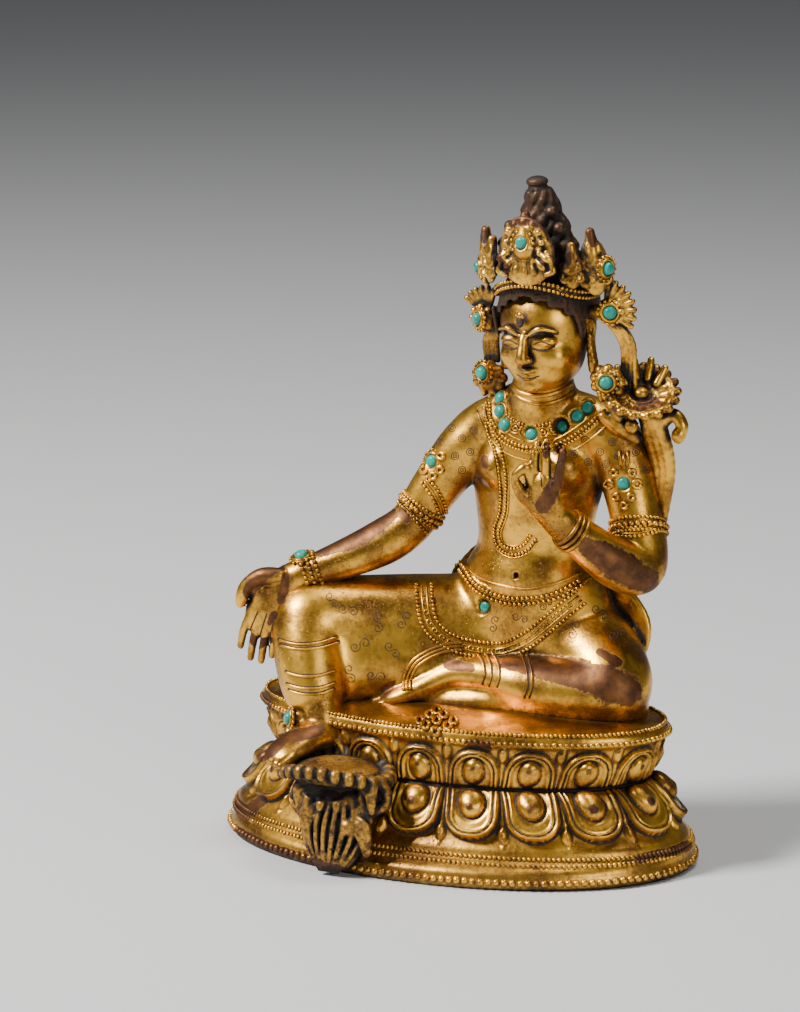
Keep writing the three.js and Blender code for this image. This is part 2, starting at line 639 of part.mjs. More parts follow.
// Stones: a point near each seat, and the way it faces
const STONES = [
  ["diadem_front", [16.8, -5, 102.1], [-0.05, -1, 0.1]],
  ["diadem_right", [-0.5, 0.3, 94.9], [-0.86, -0.5, 0]],
  ["diadem_left", [29.2, 0.8, 97.1], [0.92, -0.4, 0]],
  ["ear_right", [3, 3.8, 83.8], [-0.6, -0.8, 0]],
  ["ear_left", [31.9, 2.4, 87.9], [0.35, -0.94, 0]],
  ["pendant_right", [1.9, -0.4, 72.6], [-0.3, -0.95, 0]],
  ["pendant_left", [31.9, 0.4, 73.5], [0.35, -0.94, 0]],
  ["necklace_1", [5.9, 2.6, 67.8], [-0.5, -0.8, 0.35]],
  ["necklace_2", [7, 0.7, 65.4], [-0.4, -0.86, 0.3]],
  ["necklace_3", [8.2, -1.6, 63.4], [-0.3, -0.9, 0.3]],
  ["necklace_4", [15.4, -3.6, 62.5], [0, -0.95, 0.3]],
  ["necklace_5", [22.6, -3.3, 65], [0.2, -0.93, 0.3]],
  ["necklace_6", [25.8, -0.9, 66.8], [0.3, -0.9, 0.32]],
  ["necklace_7", [27.6, 1.1, 68.4], [0.35, -0.86, 0.36]],
  ["armlet_right", [-8.8, -1, 53.4], [-0.2, -0.97, 0.15]],
  ["armlet_left", [35.5, 1, 52.2], [0.25, -0.96, 0]],
  ["bracelet_right", [-33.8, -8.1, 31.7], [-0.1, -0.35, 0.93]],
  ["girdle", [4, -3, 24], [-0.15, -0.96, 0.2]],
  ["anklet_right", [-32.4, -21, 0.4], [-0.75, -0.62, 0.1]],
];

function stoneSeat(skin, near, way) {
  const out = vector(...way).normalize();
  const hit = struck(skin, posed(...near), out);
  const point = hit ? hit.point : posed(...near);
  return { point, out };
}

// A straight round bar along a seat's axis, from one height to another above the skin.
function bar({ point, out }, radius, from, to, sides) {
  const geometry = new THREE.CylinderGeometry(radius, radius, to - from, sides);
  geometry.rotateX(Math.PI / 2);
  geometry.applyQuaternion(new THREE.Quaternion().setFromUnitVectors(vector(0, 0, 1), out));
  geometry.translate(...point.clone().addScaledVector(out, (from + to) / 2).toArray());
  return solid(geometry);
}

function stoneMesh(name, seat) {
  const profile = [
    [0, 0],
    [STONE_RADIUS, 0],
    [STONE_RADIUS * 0.84, STONE_HEIGHT * 0.66],
    [0, STONE_HEIGHT],
  ].map((p) => new THREE.Vector2(...p));
  const geometry = new THREE.LatheGeometry(profile, STONE_SIDES);
  geometry.rotateX(Math.PI / 2);
  const mesh = new THREE.Mesh(geometry, TURQUOISE);
  mesh.name = `turquoise_${name}`;
  mesh.quaternion.setFromUnitVectors(vector(0, 0, 1), seat.out);
  mesh.position.copy(seat.point).addScaledVector(seat.out, STONE_CLEARANCE - STONE_SEAT_DEPTH);
  return mesh;
}

// The joined metal without the small hollows that its parts enclose
function castThrough(metal) {
  const bodies = metal.decompose();
  return bodies.reduce((most, body) => (body.volume() > most.volume() ? body : most));
}

// The casting, then its stones
function build() {
  const limbs = [...rightArm(), ...leftArm(), ...rightLeg(), ...leftLeg()];
  const body = joined([...torso(), ...limbs, ...head(), ...crown()]);
  const bodySkin = new THREE.Mesh(geometryOf(body));
  const dressed = joined([body, ...jewellery(bodySkin), ...shoulderLotus(), ...footLotus(), ...drapery()]);
  const dressedSkin = new THREE.Mesh(geometryOf(dressed));
  const seats = STONES.map(([name, near, way]) => ({ name, ...stoneSeat(dressedSkin, near, way) }));
  const pocket = STONE_RADIUS + STONE_CLEARANCE;
  const pockets = seats.map((seat) => bar(seat, pocket, -STONE_SEAT_DEPTH, 2 * STONE_HEIGHT, STONE_SIDES));
  const whole = joined([dressed, plinth()]).subtract(joined(pockets));
  const group = new THREE.Group();
  const casting = new THREE.Mesh(geometryOf(castThrough(whole)), GOLD);
  casting.name = "tara_and_lotus_plinth";
  group.add(casting);
  for (const seat of seats) group.add(stoneMesh(seat.name, seat));
  return group;
}

export default build();
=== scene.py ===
"""A gilt copper Tara with turquoise inlays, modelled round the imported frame.

The figure is blended from rounded shapes on distance grids. Its places are written as in the CAD: millimetres
from the plinth's axis, the height counted from the seat. The plinth is one skin with carved petals.
"""

import math

import bmesh
import bpy
import numpy as np
from mathutils import Matrix, Vector
from mathutils.bvhtree import BVHTree


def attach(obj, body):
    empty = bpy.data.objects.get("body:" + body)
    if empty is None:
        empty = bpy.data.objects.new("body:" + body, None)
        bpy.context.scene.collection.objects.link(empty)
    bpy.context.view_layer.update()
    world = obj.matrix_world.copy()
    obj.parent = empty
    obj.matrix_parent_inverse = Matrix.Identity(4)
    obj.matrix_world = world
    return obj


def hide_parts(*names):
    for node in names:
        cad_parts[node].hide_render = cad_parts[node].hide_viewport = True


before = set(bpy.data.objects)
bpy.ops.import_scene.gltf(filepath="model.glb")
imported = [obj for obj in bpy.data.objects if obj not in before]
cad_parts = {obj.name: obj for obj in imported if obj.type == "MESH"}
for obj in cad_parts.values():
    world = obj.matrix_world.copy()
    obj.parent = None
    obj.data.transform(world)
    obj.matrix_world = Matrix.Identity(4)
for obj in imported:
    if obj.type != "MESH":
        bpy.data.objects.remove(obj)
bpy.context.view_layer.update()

MM = 0.001
CASTING = "tara_and_lotus_plinth"
# how the pose sits on the plinth: its seat, its size, its shift to its left, and its lean
SEAT_HEIGHT = 28.5
POSE_SCALE = 112.7 / 113.6
PLATE_SHIFT = 0.85
BACK_RISE = 0.032
LEFT_FALL = 0.014
random = np.random.default_rng(7)


def to_row(points):
    """Points of the pose in the row frame: sized, leaning forward as cast, and set on the seat."""
    points = np.atleast_2d(np.asarray(points, float))
    lean = BACK_RISE * points[:, 1] - LEFT_FALL * points[:, 0]
    raised = np.stack([points[:, 0], points[:, 1], points[:, 2] + lean], 1)
    return raised * POSE_SCALE + [PLATE_SHIFT, 0, SEAT_HEIGHT]


def to_pose(points):
    """The way back from the row frame to the pose."""
    x, y, z = ((np.atleast_2d(np.asarray(points, float)) - [PLATE_SHIFT, 0, SEAT_HEIGHT]) / POSE_SCALE).T
    return np.stack([x, y, z - BACK_RISE * y + LEFT_FALL * x], 1)


# Camera: the photograph's, worked out from the plinth's two outlines and the stones

IMAGE_WIDTH, IMAGE_HEIGHT = 800, 1012
CAMERA_ELEVATION = math.radians(12)
CAMERA_YAW = math.radians(24)
FIELD_OF_VIEW = math.radians(15)
PIXELS_PER_MM = 4.8
TARGET = Vector((0, 0, 70))
TARGET_PIXEL = (459.2, 518)
FOCAL_PIXELS = IMAGE_HEIGHT / 2 / math.tan(FIELD_OF_VIEW / 2)
CAMERA_DISTANCE = FOCAL_PIXELS / PIXELS_PER_MM
RIGHTWARD = Vector((math.cos(CAMERA_YAW), math.sin(CAMERA_YAW), 0))
BACKWARD = Vector((-math.sin(CAMERA_YAW), math.cos(CAMERA_YAW), 0))
VIEW_WAY = BACKWARD * math.cos(CAMERA_ELEVATION) - Vector((0, 0, math.sin(CAMERA_ELEVATION)))
UPWARD = RIGHTWARD.cross(VIEW_WAY)
EYE = TARGET - VIEW_WAY * CAMERA_DISTANCE


def make_camera():
    data = bpy.data.cameras.new("camera")
    data.sensor_fit = "VERTICAL"
    data.sensor_height = 36
    data.sensor_width = 36
    data.lens = 18 / math.tan(FIELD_OF_VIEW / 2)
    data.shift_x = (IMAGE_WIDTH / 2 - TARGET_PIXEL[0]) / IMAGE_HEIGHT
    data.shift_y = (TARGET_PIXEL[1] - IMAGE_HEIGHT / 2) / IMAGE_HEIGHT
    data.clip_end = 20
    camera = bpy.data.objects.new("camera", data)
    bpy.context.collection.objects.link(camera)
    turn = Matrix((RIGHTWARD, UPWARD, -VIEW_WAY)).transposed().to_4x4()
    camera.matrix_world = Matrix.Translation(EYE * MM) @ turn
    bpy.context.scene.camera = camera


def pixel_way(px, py):
    """The direction from the eye through a pixel of the photograph."""
    across = (px - TARGET_PIXEL[0]) / FOCAL_PIXELS
    down = (py - TARGET_PIXEL[1]) / FOCAL_PIXELS
    return (VIEW_WAY + RIGHTWARD * across - UPWARD * down).normalized()


def on_picture(points):
    """The photograph's pixels at which points of the row frame are seen."""
    away = np.atleast_2d(points) - np.array(TARGET)
    depth = CAMERA_DISTANCE + away @ np.array(VIEW_WAY)
    px = TARGET_PIXEL[0] + FOCAL_PIXELS * (away @ np.array(RIGHTWARD)) / depth
    py = TARGET_PIXEL[1] - FOCAL_PIXELS * (away @ np.array(UPWARD)) / depth
    return np.stack([px, py], 1)


# Distance grids

FAR = 4.0


def smooth(value, low, high):
    t = np.clip((value - low) / (high - low), 0, 1)
    return t * t * (3 - 2 * t)


def spline(points, per):
    """Points of a Catmull-Rom curve through rows of numbers, `per` steps to each stretch."""
    rows = np.array(points, float)
    if len(rows) < 3:
        steps = np.linspace(0, 1, per + 1)[:, None]
        return rows[0] * (1 - steps) + rows[-1] * steps
    padded = np.vstack([2 * rows[0] - rows[1], rows, 2 * rows[-1] - rows[-2]])
    out = []
    for i in range(len(rows) - 1):
        a, b, c, d = padded[i : i + 4]
        square, cube = 2 * a - 5 * b + 4 * c - d, 3 * b - a - 3 * c + d
        for t in np.arange(per) / per:
            out.append(0.5 * (2 * b + (c - a) * t + square * t**2 + cube * t**3))
    return np.array([*out, rows[-1]])


class Field:
    """A grid of distances to a surface, negative inside."""

    def __init__(self, low, high, cell):
        self.low = np.array(low, float)
        self.cell = cell
        self.count = np.ceil((np.array(high) - self.low) / cell).astype(int) + 1
        self.axes = [(self.low[i] + cell * np.arange(self.count[i])).astype(np.float32) for i in range(3)]
        self.value = np.full(self.count, FAR, np.float32)

    def window(self, low, high):
        start = np.clip(np.floor((low - self.low) / self.cell).astype(int), 0, self.count)
        stop = np.clip(np.ceil((high - self.low) / self.cell).astype(int) + 1, 0, self.count)
        part = tuple(slice(a, b) for a, b in zip(start, stop))
        x = self.axes[0][part[0]][:, None, None]
        y = self.axes[1][part[1]][None, :, None]
        z = self.axes[2][part[2]][None, None, :]
        return part, x, y, z

    def put(self, shape, low, high, k=0.0, cut=False):
        """Joins a shape on, or cuts it away, with a fillet of about k."""
        reach = k + 2 * self.cell + 0.6
        part, x, y, z = self.window(np.array(low, float) - reach, np.array(high, float) + reach)
        old = self.value[part]
        if old.size == 0:
            return
        new = shape(x, y, z)
        if cut:
            old, new = -old, new
        if k > 0:
            share = np.clip(0.5 + 0.5 * (old - new) / k, 0, 1)
            met = old * (1 - share) + new * share - k * share * (1 - share)
        else:
            met = np.minimum(old, new)
        self.value[part] = -met if cut else met

    def bone(self, a, b, ra, rb, k=0.8, flat=None, ratio=1.0, cut=False):
        """A round-ended bar from a to b, thinned to `ratio` along the direction `flat`."""
        a, b = np.array(a, float), np.array(b, float)
        along = b - a
        squared = max(float(along @ along), 1e-9)
        if flat is not None:
            way = np.array(flat, float)
            way = way - along * (way @ along) / squared
            way /= max(np.linalg.norm(way), 1e-9)

        def shape(x, y, z):
            px, py, pz = x - a[0], y - a[1], z - a[2]
            t = np.clip((px * along[0] + py * along[1] + pz * along[2]) / squared, 0, 1)
            qx, qy, qz = px - t * along[0], py - t * along[1], pz - t * along[2]
            square = qx * qx + qy * qy + qz * qz
            if flat is not None:
                off = qx * way[0] + qy * way[1] + qz * way[2]
                square = square + off * off * (1 / ratio**2 - 1)
            return (np.sqrt(square) - (ra + (rb - ra) * t)) * (0.4 + 0.6 * ratio)

        size = max(ra, rb)
        self.put(shape, np.minimum(a, b) - size, np.maximum(a, b) + size, k, cut)

    def limb(self, stations, k=0.8, flat=(0, 1, 0), per=4, cut=False):
        """A limb through rows of x, y, z, half width and, if it isn't round, half depth."""
        rows = spline([row if len(row) == 5 else [*row, row[3]] for row in stations], per)
        for a, b in zip(rows[:-1], rows[1:]):
            ratio = (a[4] + b[4]) / (a[3] + b[3])
            self.bone(a[:3], b[:3], a[3], b[3], k, None if abs(ratio - 1) < 0.02 else flat, ratio, cut)

    def egg(self, centre, radii, k=0.8, turn=None, cut=False):
        """An ellipsoid, turned by a 3 x 3 matrix whose columns are its axes."""
        centre, radii = np.array(centre, float), np.array(radii, float)
        axes = np.eye(3) if turn is None else np.array(turn, float)

        def shape(x, y, z):
            px, py, pz = x - centre[0], y - centre[1], z - centre[2]
            u, v, w = [(px * axes[0, i] + py * axes[1, i] + pz * axes[2, i]) / radii[i] for i in range(3)]
            near = np.sqrt(u * u + v * v + w * w)
            steep = np.sqrt((u / radii[0]) ** 2 + (v / radii[1]) ** 2 + (w / radii[2]) ** 2)
            return near * (near - 1) / np.maximum(steep, 1e-6)

        size = np.abs(axes * radii).sum(1)
        self.put(shape, centre - size, centre + size, k, cut)

    def ring(self, centre, normal, radius, thick, k=0.2, cut=False):
        """A torus."""
        centre, normal = np.array(centre, float), np.array(normal, float)
        normal /= np.linalg.norm(normal)

        def shape(x, y, z):
            px, py, pz = x - centre[0], y - centre[1], z - centre[2]
            height = px * normal[0] + py * normal[1] + pz * normal[2]
            out = np.sqrt(np.maximum(px * px + py * py + pz * pz - height * height, 0)) - radius
            return np.sqrt(out * out + height * height) - thick

        size = radius + thick
        self.put(shape, centre - size, centre + size, k, cut)

    def at(self, points):
        """The distance at points, by weighing the eight grid corners round each."""
        place = np.clip((points - self.low) / self.cell, 0, self.count - 1.001)
        base = np.floor(place).astype(int)
        share = place - base
        total = np.zeros(len(points))
        for corner in np.ndindex(2, 2, 2):
            weight = np.prod(np.where(corner, share, 1 - share), axis=1)
            total += weight * self.value[tuple((base + corner).T)]
        return total

    def surface(self):
        """Points and four-cornered faces of the zero surface, by surface nets."""
        v = self.value
        inside = v < 0
        corners = list(np.ndindex(2, 2, 2))
        size = np.array(v.shape) - 1
        part = [inside[tuple(slice(c, c + s) for c, s in zip(corner, size))] for corner in corners]
        mixed = np.logical_or.reduce(part) & ~np.logical_and.reduce(part)
        cells = np.argwhere(mixed)
        at = np.stack([v[tuple((cells + c).T)] for c in corners], 1)
        total = np.zeros((len(cells), 3))
        found = np.zeros(len(cells))
        for i, a in enumerate(corners):
            for j, b in enumerate(corners):
                if j <= i or sum(abs(p - q) for p, q in zip(a, b)) != 1:
                    continue
                crosses = (at[:, i] < 0) != (at[:, j] < 0)
                t = at[:, i] / np.where(crosses, at[:, i] - at[:, j], 1)
                spot = np.array(a) + (np.array(b) - np.array(a)) * t[:, None]
                total += np.where(crosses[:, None], spot, 0)
                found += crosses
        points = self.low + self.cell * (cells + total / found[:, None])
        number = np.full(size, -1, np.int32)
        number[mixed] = np.arange(len(cells))
        faces = []
        for axis in range(3):
            ahead = [slice(None)] * 3
            ahead[axis] = slice(1, None)
            behind = [slice(None)] * 3
            behind[axis] = slice(None, -1)
            first, second = inside[tuple(behind)], inside[tuple(ahead)]
            u, w = [i for i in range(3) if i != axis]
            for low_side in (True, False):
                edges = np.argwhere((first == low_side) & (second != low_side))
                good = ((edges[:, [u, w]] > 0) & (edges[:, [u, w]] < size[[u, w]])).all(1)
                edges = edges[good]
                quad = []
                for du, dw in ((0, 0), (1, 0), (1, 1), (0, 1)):
                    cell = edges.copy()
                    cell[:, u] -= du
                    cell[:, w] -= dw
                    quad.append(number[tuple(cell.T)])
                order = [0, 1, 2, 3] if low_side == (axis != 1) else [3, 2, 1, 0]
                faces.append(np.stack([quad[i] for i in order], 1))
        return points, np.vstack(faces)


# Meshes


def make_mesh(name, points, faces, material):
    """A piece from points in millimetres, in the row frame, and faces of three or four corners."""
    mesh = bpy.data.meshes.new(name)
    mesh.from_pydata((np.asarray(points, float) * MM).tolist(), [], [list(face) for face in faces])
    mesh.validate()
    mesh.shade_smooth()
    piece = bpy.data.objects.new(name, mesh)
    bpy.context.collection.objects.link(piece)
    mesh.materials.append(material)
    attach(piece, "root")
    return piece


def attribute(piece, name, values):
    layer = piece.data.attributes.new(name, "FLOAT", "POINT")
    layer.data.foreach_set("value", np.asarray(values, np.float32))


# Where the gilding is worn to brown copper: strokes of pixel x, pixel y and radius, on the side that is seen
WORN_STROKES_PX = [
    [(505, 661, 7), (540, 666, 12), (580, 675, 15), (612, 685, 18), (626, 690, 16)],
    [(586, 546, 8), (604, 556, 14), (628, 571, 16), (646, 580, 13)],
    [(322, 548, 8), (345, 538, 14), (370, 524, 15), (388, 514, 9)],
    [(250, 592, 7), (256, 577, 9), (270, 570, 7), (281, 567, 4)],
    [(286, 577, 4), (284, 588, 5), (281, 600, 4)],
    [(274, 615, 4), (270, 622, 3)],
    [(547, 446, 4), (546, 456, 3)],
    [(484, 459, 4), (485, 466, 3)],
    [(402, 513, 5), (407, 520, 4)],
    [(250, 636, 4), (258, 644, 5), (270, 640, 3)],
    [(262, 757, 6), (285, 738, 6), (320, 730, 6)],
    [(232, 800, 6), (246, 812, 7), (262, 800, 6)],
    [(300, 862, 5), (340, 873, 5)],
    [(640, 858, 4), (686, 846, 5)],
    [(262, 697, 6), (266, 712, 4)],
    [(240, 832, 5), (262, 845, 6), (290, 856, 6)],
    [(470, 744, 5), (486, 748, 6)],
    [(556, 452, 3), (560, 446, 3)],
    [(386, 690, 5), (392, 684, 3)],
    [(450, 664, 6), (470, 668, 5)],
    [(674, 372, 4), (678, 384, 4)],
    [(640, 406, 4), (656, 402, 4)],
    [(600, 652, 4), (618, 662, 5)],
    [(514, 222, 5), (530, 216, 7), (548, 222, 8), (560, 240, 8), (562, 262, 7)],
    [(484, 232, 5), (484, 240, 3)],
    [(592, 232, 5), (594, 242, 4)],
    [(498, 240, 3), (496, 258, 4), (506, 270, 4)],
]
# this stroke is on the raised hand alone, which lies this far forward
WORN_HAND_PX = [(564, 448, 5), (563, 462, 6), (558, 478, 7), (550, 494, 8), (543, 506, 7)]
HAND_FORWARD = 8.5
# a stroke fades out at this many of its radii, and between these two ways behind the plinth's middle
STROKE_EDGE = 1.55
STROKE_DEPTH = (6, 14)
# And round the back, where hands have held it: place in the pose, radius, strength
WORN_BACK = [
    ((14, 17, 46), 8, 0.8), ((28, 17, 56), 6, 0.7), ((0, 16, 56), 6, 0.7), ((11, 21, 14), 9, 0.8),
    ((38, 8, 36), 5, 0.8), ((-14, 7, 38), 4, 0.8), ((17, 12, 98), 8, 1.0),
]


def worn_at(points):
    """How far the gilding is worn at points of the pose, from 0 to 1."""
    places = to_row(points)
    seen_at = on_picture(places)
    total = np.zeros(len(points))
    on_hand = smooth(-points[:, 1], HAND_FORWARD, HAND_FORWARD + 1)
    for stroke in [*WORN_STROKES_PX, WORN_HAND_PX]:
        reached = on_hand if stroke is WORN_HAND_PX else 1.0
        for (ax, ay, ar), (bx, by, br) in zip(stroke[:-1], stroke[1:]):
            along = np.array([bx - ax, by - ay], float)
            t = np.clip(((seen_at - [ax, ay]) @ along) / (along @ along), 0, 1)
            away = np.linalg.norm(seen_at - [ax, ay] - t[:, None] * along, axis=1) / (ar + (br - ar) * t)
            total = np.maximum(total, reached * np.clip(STROKE_EDGE - away, 0, 1))
    total *= 1 - smooth(places @ np.array(VIEW_WAY), *STROKE_DEPTH)
    for centre, radius, strength in WORN_BACK:
        away = np.linalg.norm(points - np.array(centre, float), axis=1) / radius
        total = np.maximum(total, strength * np.clip(1.5 - away, 0, 1))
    return total


def from_field(field, name, material, extra_wear=0.0):
    """A piece from a field written in the pose, with how hollow and how worn each of its points is."""
    points, faces = field.surface()
    step = field.cell
    slope = np.stack(
        [field.at(points + np.eye(3)[i] * step) - field.at(points - np.eye(3)[i] * step) for i in range(3)], 1
    )
    slope /= np.maximum(np.linalg.norm(slope, axis=1), 1e-9)[:, None]
    hollow = np.zeros(len(points))
    for reach in (0.7, 1.5, 3.0):
        hollow += np.clip(1 - field.at(points + slope * reach) / reach, 0, 1) / 3
    piece = make_mesh(name, to_row(points), faces, material)
    attribute(piece, "hollow", hollow)
    attribute(piece, "worn", np.clip(worn_at(points) + extra_wear, 0, 1))
    return piece


# Materials

class Value:
    """A number or colour that a shader works out. Sums and products of numbers are written as usual."""

    def __init__(self, shader, socket):
        self.shader, self.socket = shader, socket

    def __add__(self, other):
        return self.shader.calc("ADD", self, other)

    def __mul__(self, other):
        return self.shader.calc("MULTIPLY", self, other)

    def __sub__(self, other):
        return self.shader.calc("SUBTRACT", self, other)

    def __rsub__(self, other):
        return self.shader.calc("SUBTRACT", other, self)

    def or_more(self, other):
        return self.shader.calc("MAXIMUM", self, other)

    def ramp(self, low, high):
        """The value spread from 0 at low to 1 at high, clamped."""
        return self.shader.add("MapRange", 0, clamp=True, i0=self, i1=low, i2=high, i3=0.0, i4=1.0)


class Shader:
    """The nodes of one material."""

    def __init__(self, name):
        self.material = bpy.data.materials.new(name)
        self.material.use_nodes = True
        self.tree = self.material.node_tree
        self.tree.nodes.clear()

    def add(self, kind, output, **values):
        """An output of a new node. Capitals and numbers name its inputs, small letters its properties."""
        node = self.tree.nodes.new("ShaderNode" + kind)
        for key, value in values.items():
            if key[0].islower() and not key[1:].isdigit():
                setattr(node, key, value)
                continue
            socket = node.inputs[key.replace("_", " ") if key[0].isupper() else int(key[1:])]
            if isinstance(value, Value):
                self.tree.links.new(value.socket, socket)
            else:
                socket.default_value = value
        return Value(self, node.outputs[output])

    def calc(self, operation, a, b, clamp=False):
        return self.add("Math", 0, operation=operation, use_clamp=clamp, i0=a, i1=b)

    def mix(self, share, a, b):
        return self.add("Mix", 2, data_type="RGBA", i0=share, i6=a, i7=b)

    def noise(self, scale, detail=3.0, rough=0.55):
        where = self.add("TexCoord", "Object")
        return self.add("TexNoise", "Fac", Vector=where, Scale=scale, Detail=detail, Roughness=rough)

    def finish(self, **values):
        """The material, with one principled surface."""
        skin = self.add("BsdfPrincipled", 0, **values)
        end = self.tree.nodes.new("ShaderNodeOutputMaterial")
        self.tree.links.new(skin.socket, end.inputs["Surface"])
        return self.material


GILT = (0.94, 0.5, 0.052, 1)
# a deeper gilt, laid at random and as painted shade in the hollows
GILT_DEEP_AND_SHADE = (0.53, 0.262, 0.042, 1)
GILT_FILM = (0.2, 0.085, 0.018, 1)
COPPER = (0.21, 0.088, 0.032, 1)
COPPER_DEEP = (0.085, 0.04, 0.024, 1)
# the near black of grime and of painted shade in the hollows
PATINA_AND_SHADE = (0.012, 0.007, 0.004, 1)


def gilt_material(name, wear=0.0, dark=0.0, gilt=GILT, bare_tone=COPPER):
    """Fire gilding over copper: brown where worn, with a black fringe, nearly black where grime and painted
    shade lie.
    """
    shader = Shader(name)
    hollow = shader.add("Attribute", "Fac", attribute_name="hollow")
    worn = shader.add("Attribute", "Fac", attribute_name="worn")
    shade = shader.add("AmbientOcclusion", "AO", samples=6, Distance=0.003)
    sharp = shader.add("NewGeometry", "Pointiness")
    broad, patches = shader.noise(110, 4), shader.noise(330, 5, 0.65)
    fine, specks = shader.noise(1100, 4, 0.65), shader.noise(2600, 2, 0.6)
    # worn copper, with ragged edges
    worn_here = worn + wear + (patches * 0.95 + fine * 0.6)
    bare = worn_here.ramp(1.3, 1.37)
    fringe = shader.calc("SUBTRACT", worn_here.ramp(1.2, 1.29), bare, clamp=True)
    edges = sharp.ramp(0.56, 0.66) * fine.ramp(0.5, 0.62)
    pits = (specks + broad * 0.5).ramp(0.9, 0.95)
    bare = bare.or_more((edges * 0.4).or_more(pits))
    # grime and painted shade in the hollows: their depth and ambient occlusion darken the colour
    closed = hollow * 0.95 + (1.0 - shade) + (fine - 0.5) * 0.7
    dirt_and_shade = (closed + dark).ramp(0.5, 0.95).or_more(fringe * 0.8)
    tint = shader.mix(broad.ramp(0.38, 0.68), gilt, GILT_DEEP_AND_SHADE)
    # painted shade: the gilding turns deeper where hollow and occluded
    tint = shader.mix(closed.ramp(0.12, 0.6) * 0.85, tint, GILT_DEEP_AND_SHADE)
    tint = shader.mix((broad + fine * 0.5).ramp(0.68, 0.88) * 0.7, tint, GILT_FILM)
    copper = shader.mix(patches.ramp(0.35, 0.65), bare_tone, COPPER_DEEP)
    relief = fine * 0.4 + patches * 0.9 - bare * 0.4
    return shader.finish(
        Base_Color=shader.mix(dirt_and_shade, shader.mix(bare, tint, copper), PATINA_AND_SHADE),
        Metallic=1.0 - dirt_and_shade * 0.7,
        Roughness=patches * 0.2 + 0.23 + bare * 0.16 + dirt_and_shade * 0.3,
        Normal=shader.add("Bump", "Normal", Strength=0.5, Distance=0.00016, Height=relief),
    )


def dark_material(name):
    """Old black paint and grime in engraved lines, and painted shade between the fingers."""
    shader = Shader(name)
    tone = shader.mix(shader.noise(1500).ramp(0.45, 0.75), (0.03, 0.017, 0.012, 1), (0.12, 0.06, 0.03, 1))
    return shader.finish(Base_Color=tone, Metallic=0.3, Roughness=0.55)


def turquoise_material():
    """Turquoise, clouded, with a few dark veins."""
    shader = Shader("turquoise")
    where = shader.add("TexCoord", "Object")
    cloud = shader.noise(500, 4)
    tone = shader.mix(cloud.ramp(0.35, 0.7), (0.008, 0.33, 0.26, 1), (0.015, 0.2, 0.155, 1))
    edge = shader.add("TexVoronoi", "Distance", feature="DISTANCE_TO_EDGE", Vector=where, Scale=520.0)
    veins = (1.0 - edge.ramp(0.0, 0.05)) * cloud.ramp(0.5, 0.6)
    tone = shader.mix(veins, tone, (0.03, 0.06, 0.045, 1))
    return shader.finish(Base_Color=tone, Roughness=0.28, Subsurface_Weight=0.1, Subsurface_Scale=0.0006)


gilt = gilt_material("gilt_copper")
gilt_dark = gilt_material("gilt_copper_dirty", wear=0.2, dark=0.16)
hair_metal = gilt_material("hair_copper", wear=0.85, dark=0.52, bare_tone=(0.115, 0.068, 0.038, 1))
crown_metal = gilt_material("crown_copper", wear=0.24, dark=0.38)
# the lotus under the foot: gilding painted darker and more grime, partly painted shade
leaf_metal = gilt_material("leaf_copper", wear=0.45, dark=0.62, gilt=(0.66, 0.33, 0.04, 1))
bead_metal = gilt_material("bead_copper", wear=0.34, dark=0.2)
lines = dark_material("engraved_lines_and_finger_shade")
turquoise = turquoise_material()


# Stones: their feet and the ways they face come from the CAD

STONE_RADIUS, STONE_HEIGHT = 1.45, 1.7


def stone_axis(corners):
    """A stone's foot, the middle of its flat back, and the way it faces."""
    rounded = np.unique(np.round(corners, 3), axis=0)
    # the back is the widest flat: its corners and its middle lie in one plane, square to the stone's axis
    _, _, ways = np.linalg.svd(corners - corners.mean(0))
    for way in [sign * way for way in ways for sign in (1, -1)]:
        along = rounded @ way
        low, high = along.min(), along.max()
        back = rounded[along < low + 0.05]
        if abs(high - low - STONE_HEIGHT) < 0.08 and len(back) >= 5 and (along > high - 0.05).sum() <= 2:
            best = (back.mean(0), way)
    return best


def find_seats():
    seats = {}
    for name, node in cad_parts.items():
        if name.startswith("turquoise_"):
            corners = np.array([node.matrix_world @ v.co for v in node.data.vertices]) / MM
            seats[name.removeprefix("turquoise_")] = stone_axis(corners)
    return seats


SEATS = find_seats()


def bosses(field, *names, size=2.3):
    """A lump of metal under each of these stones, placed in the pose on any grid."""
    for name in names:
        foot, out = SEATS[name]
        Field.egg(field, to_pose(foot)[0] + out * (0.6 - size), [size] * 3, k=0.5)


def clear_stones(field):
    """Nothing of the casting lies over a stone."""
    for foot, out in SEATS.values():
        place = to_pose(foot)[0]
        field.bone(place + out * 2.3, place + out * 5, 1.75, 1.9, k=0.15, cut=True)


# Torso and arms

UP = (0, 0, 1)


def stations(points, *widths):
    """Places, each with the half width there."""
    return [[*point, width] for point, width in zip(points, widths)]


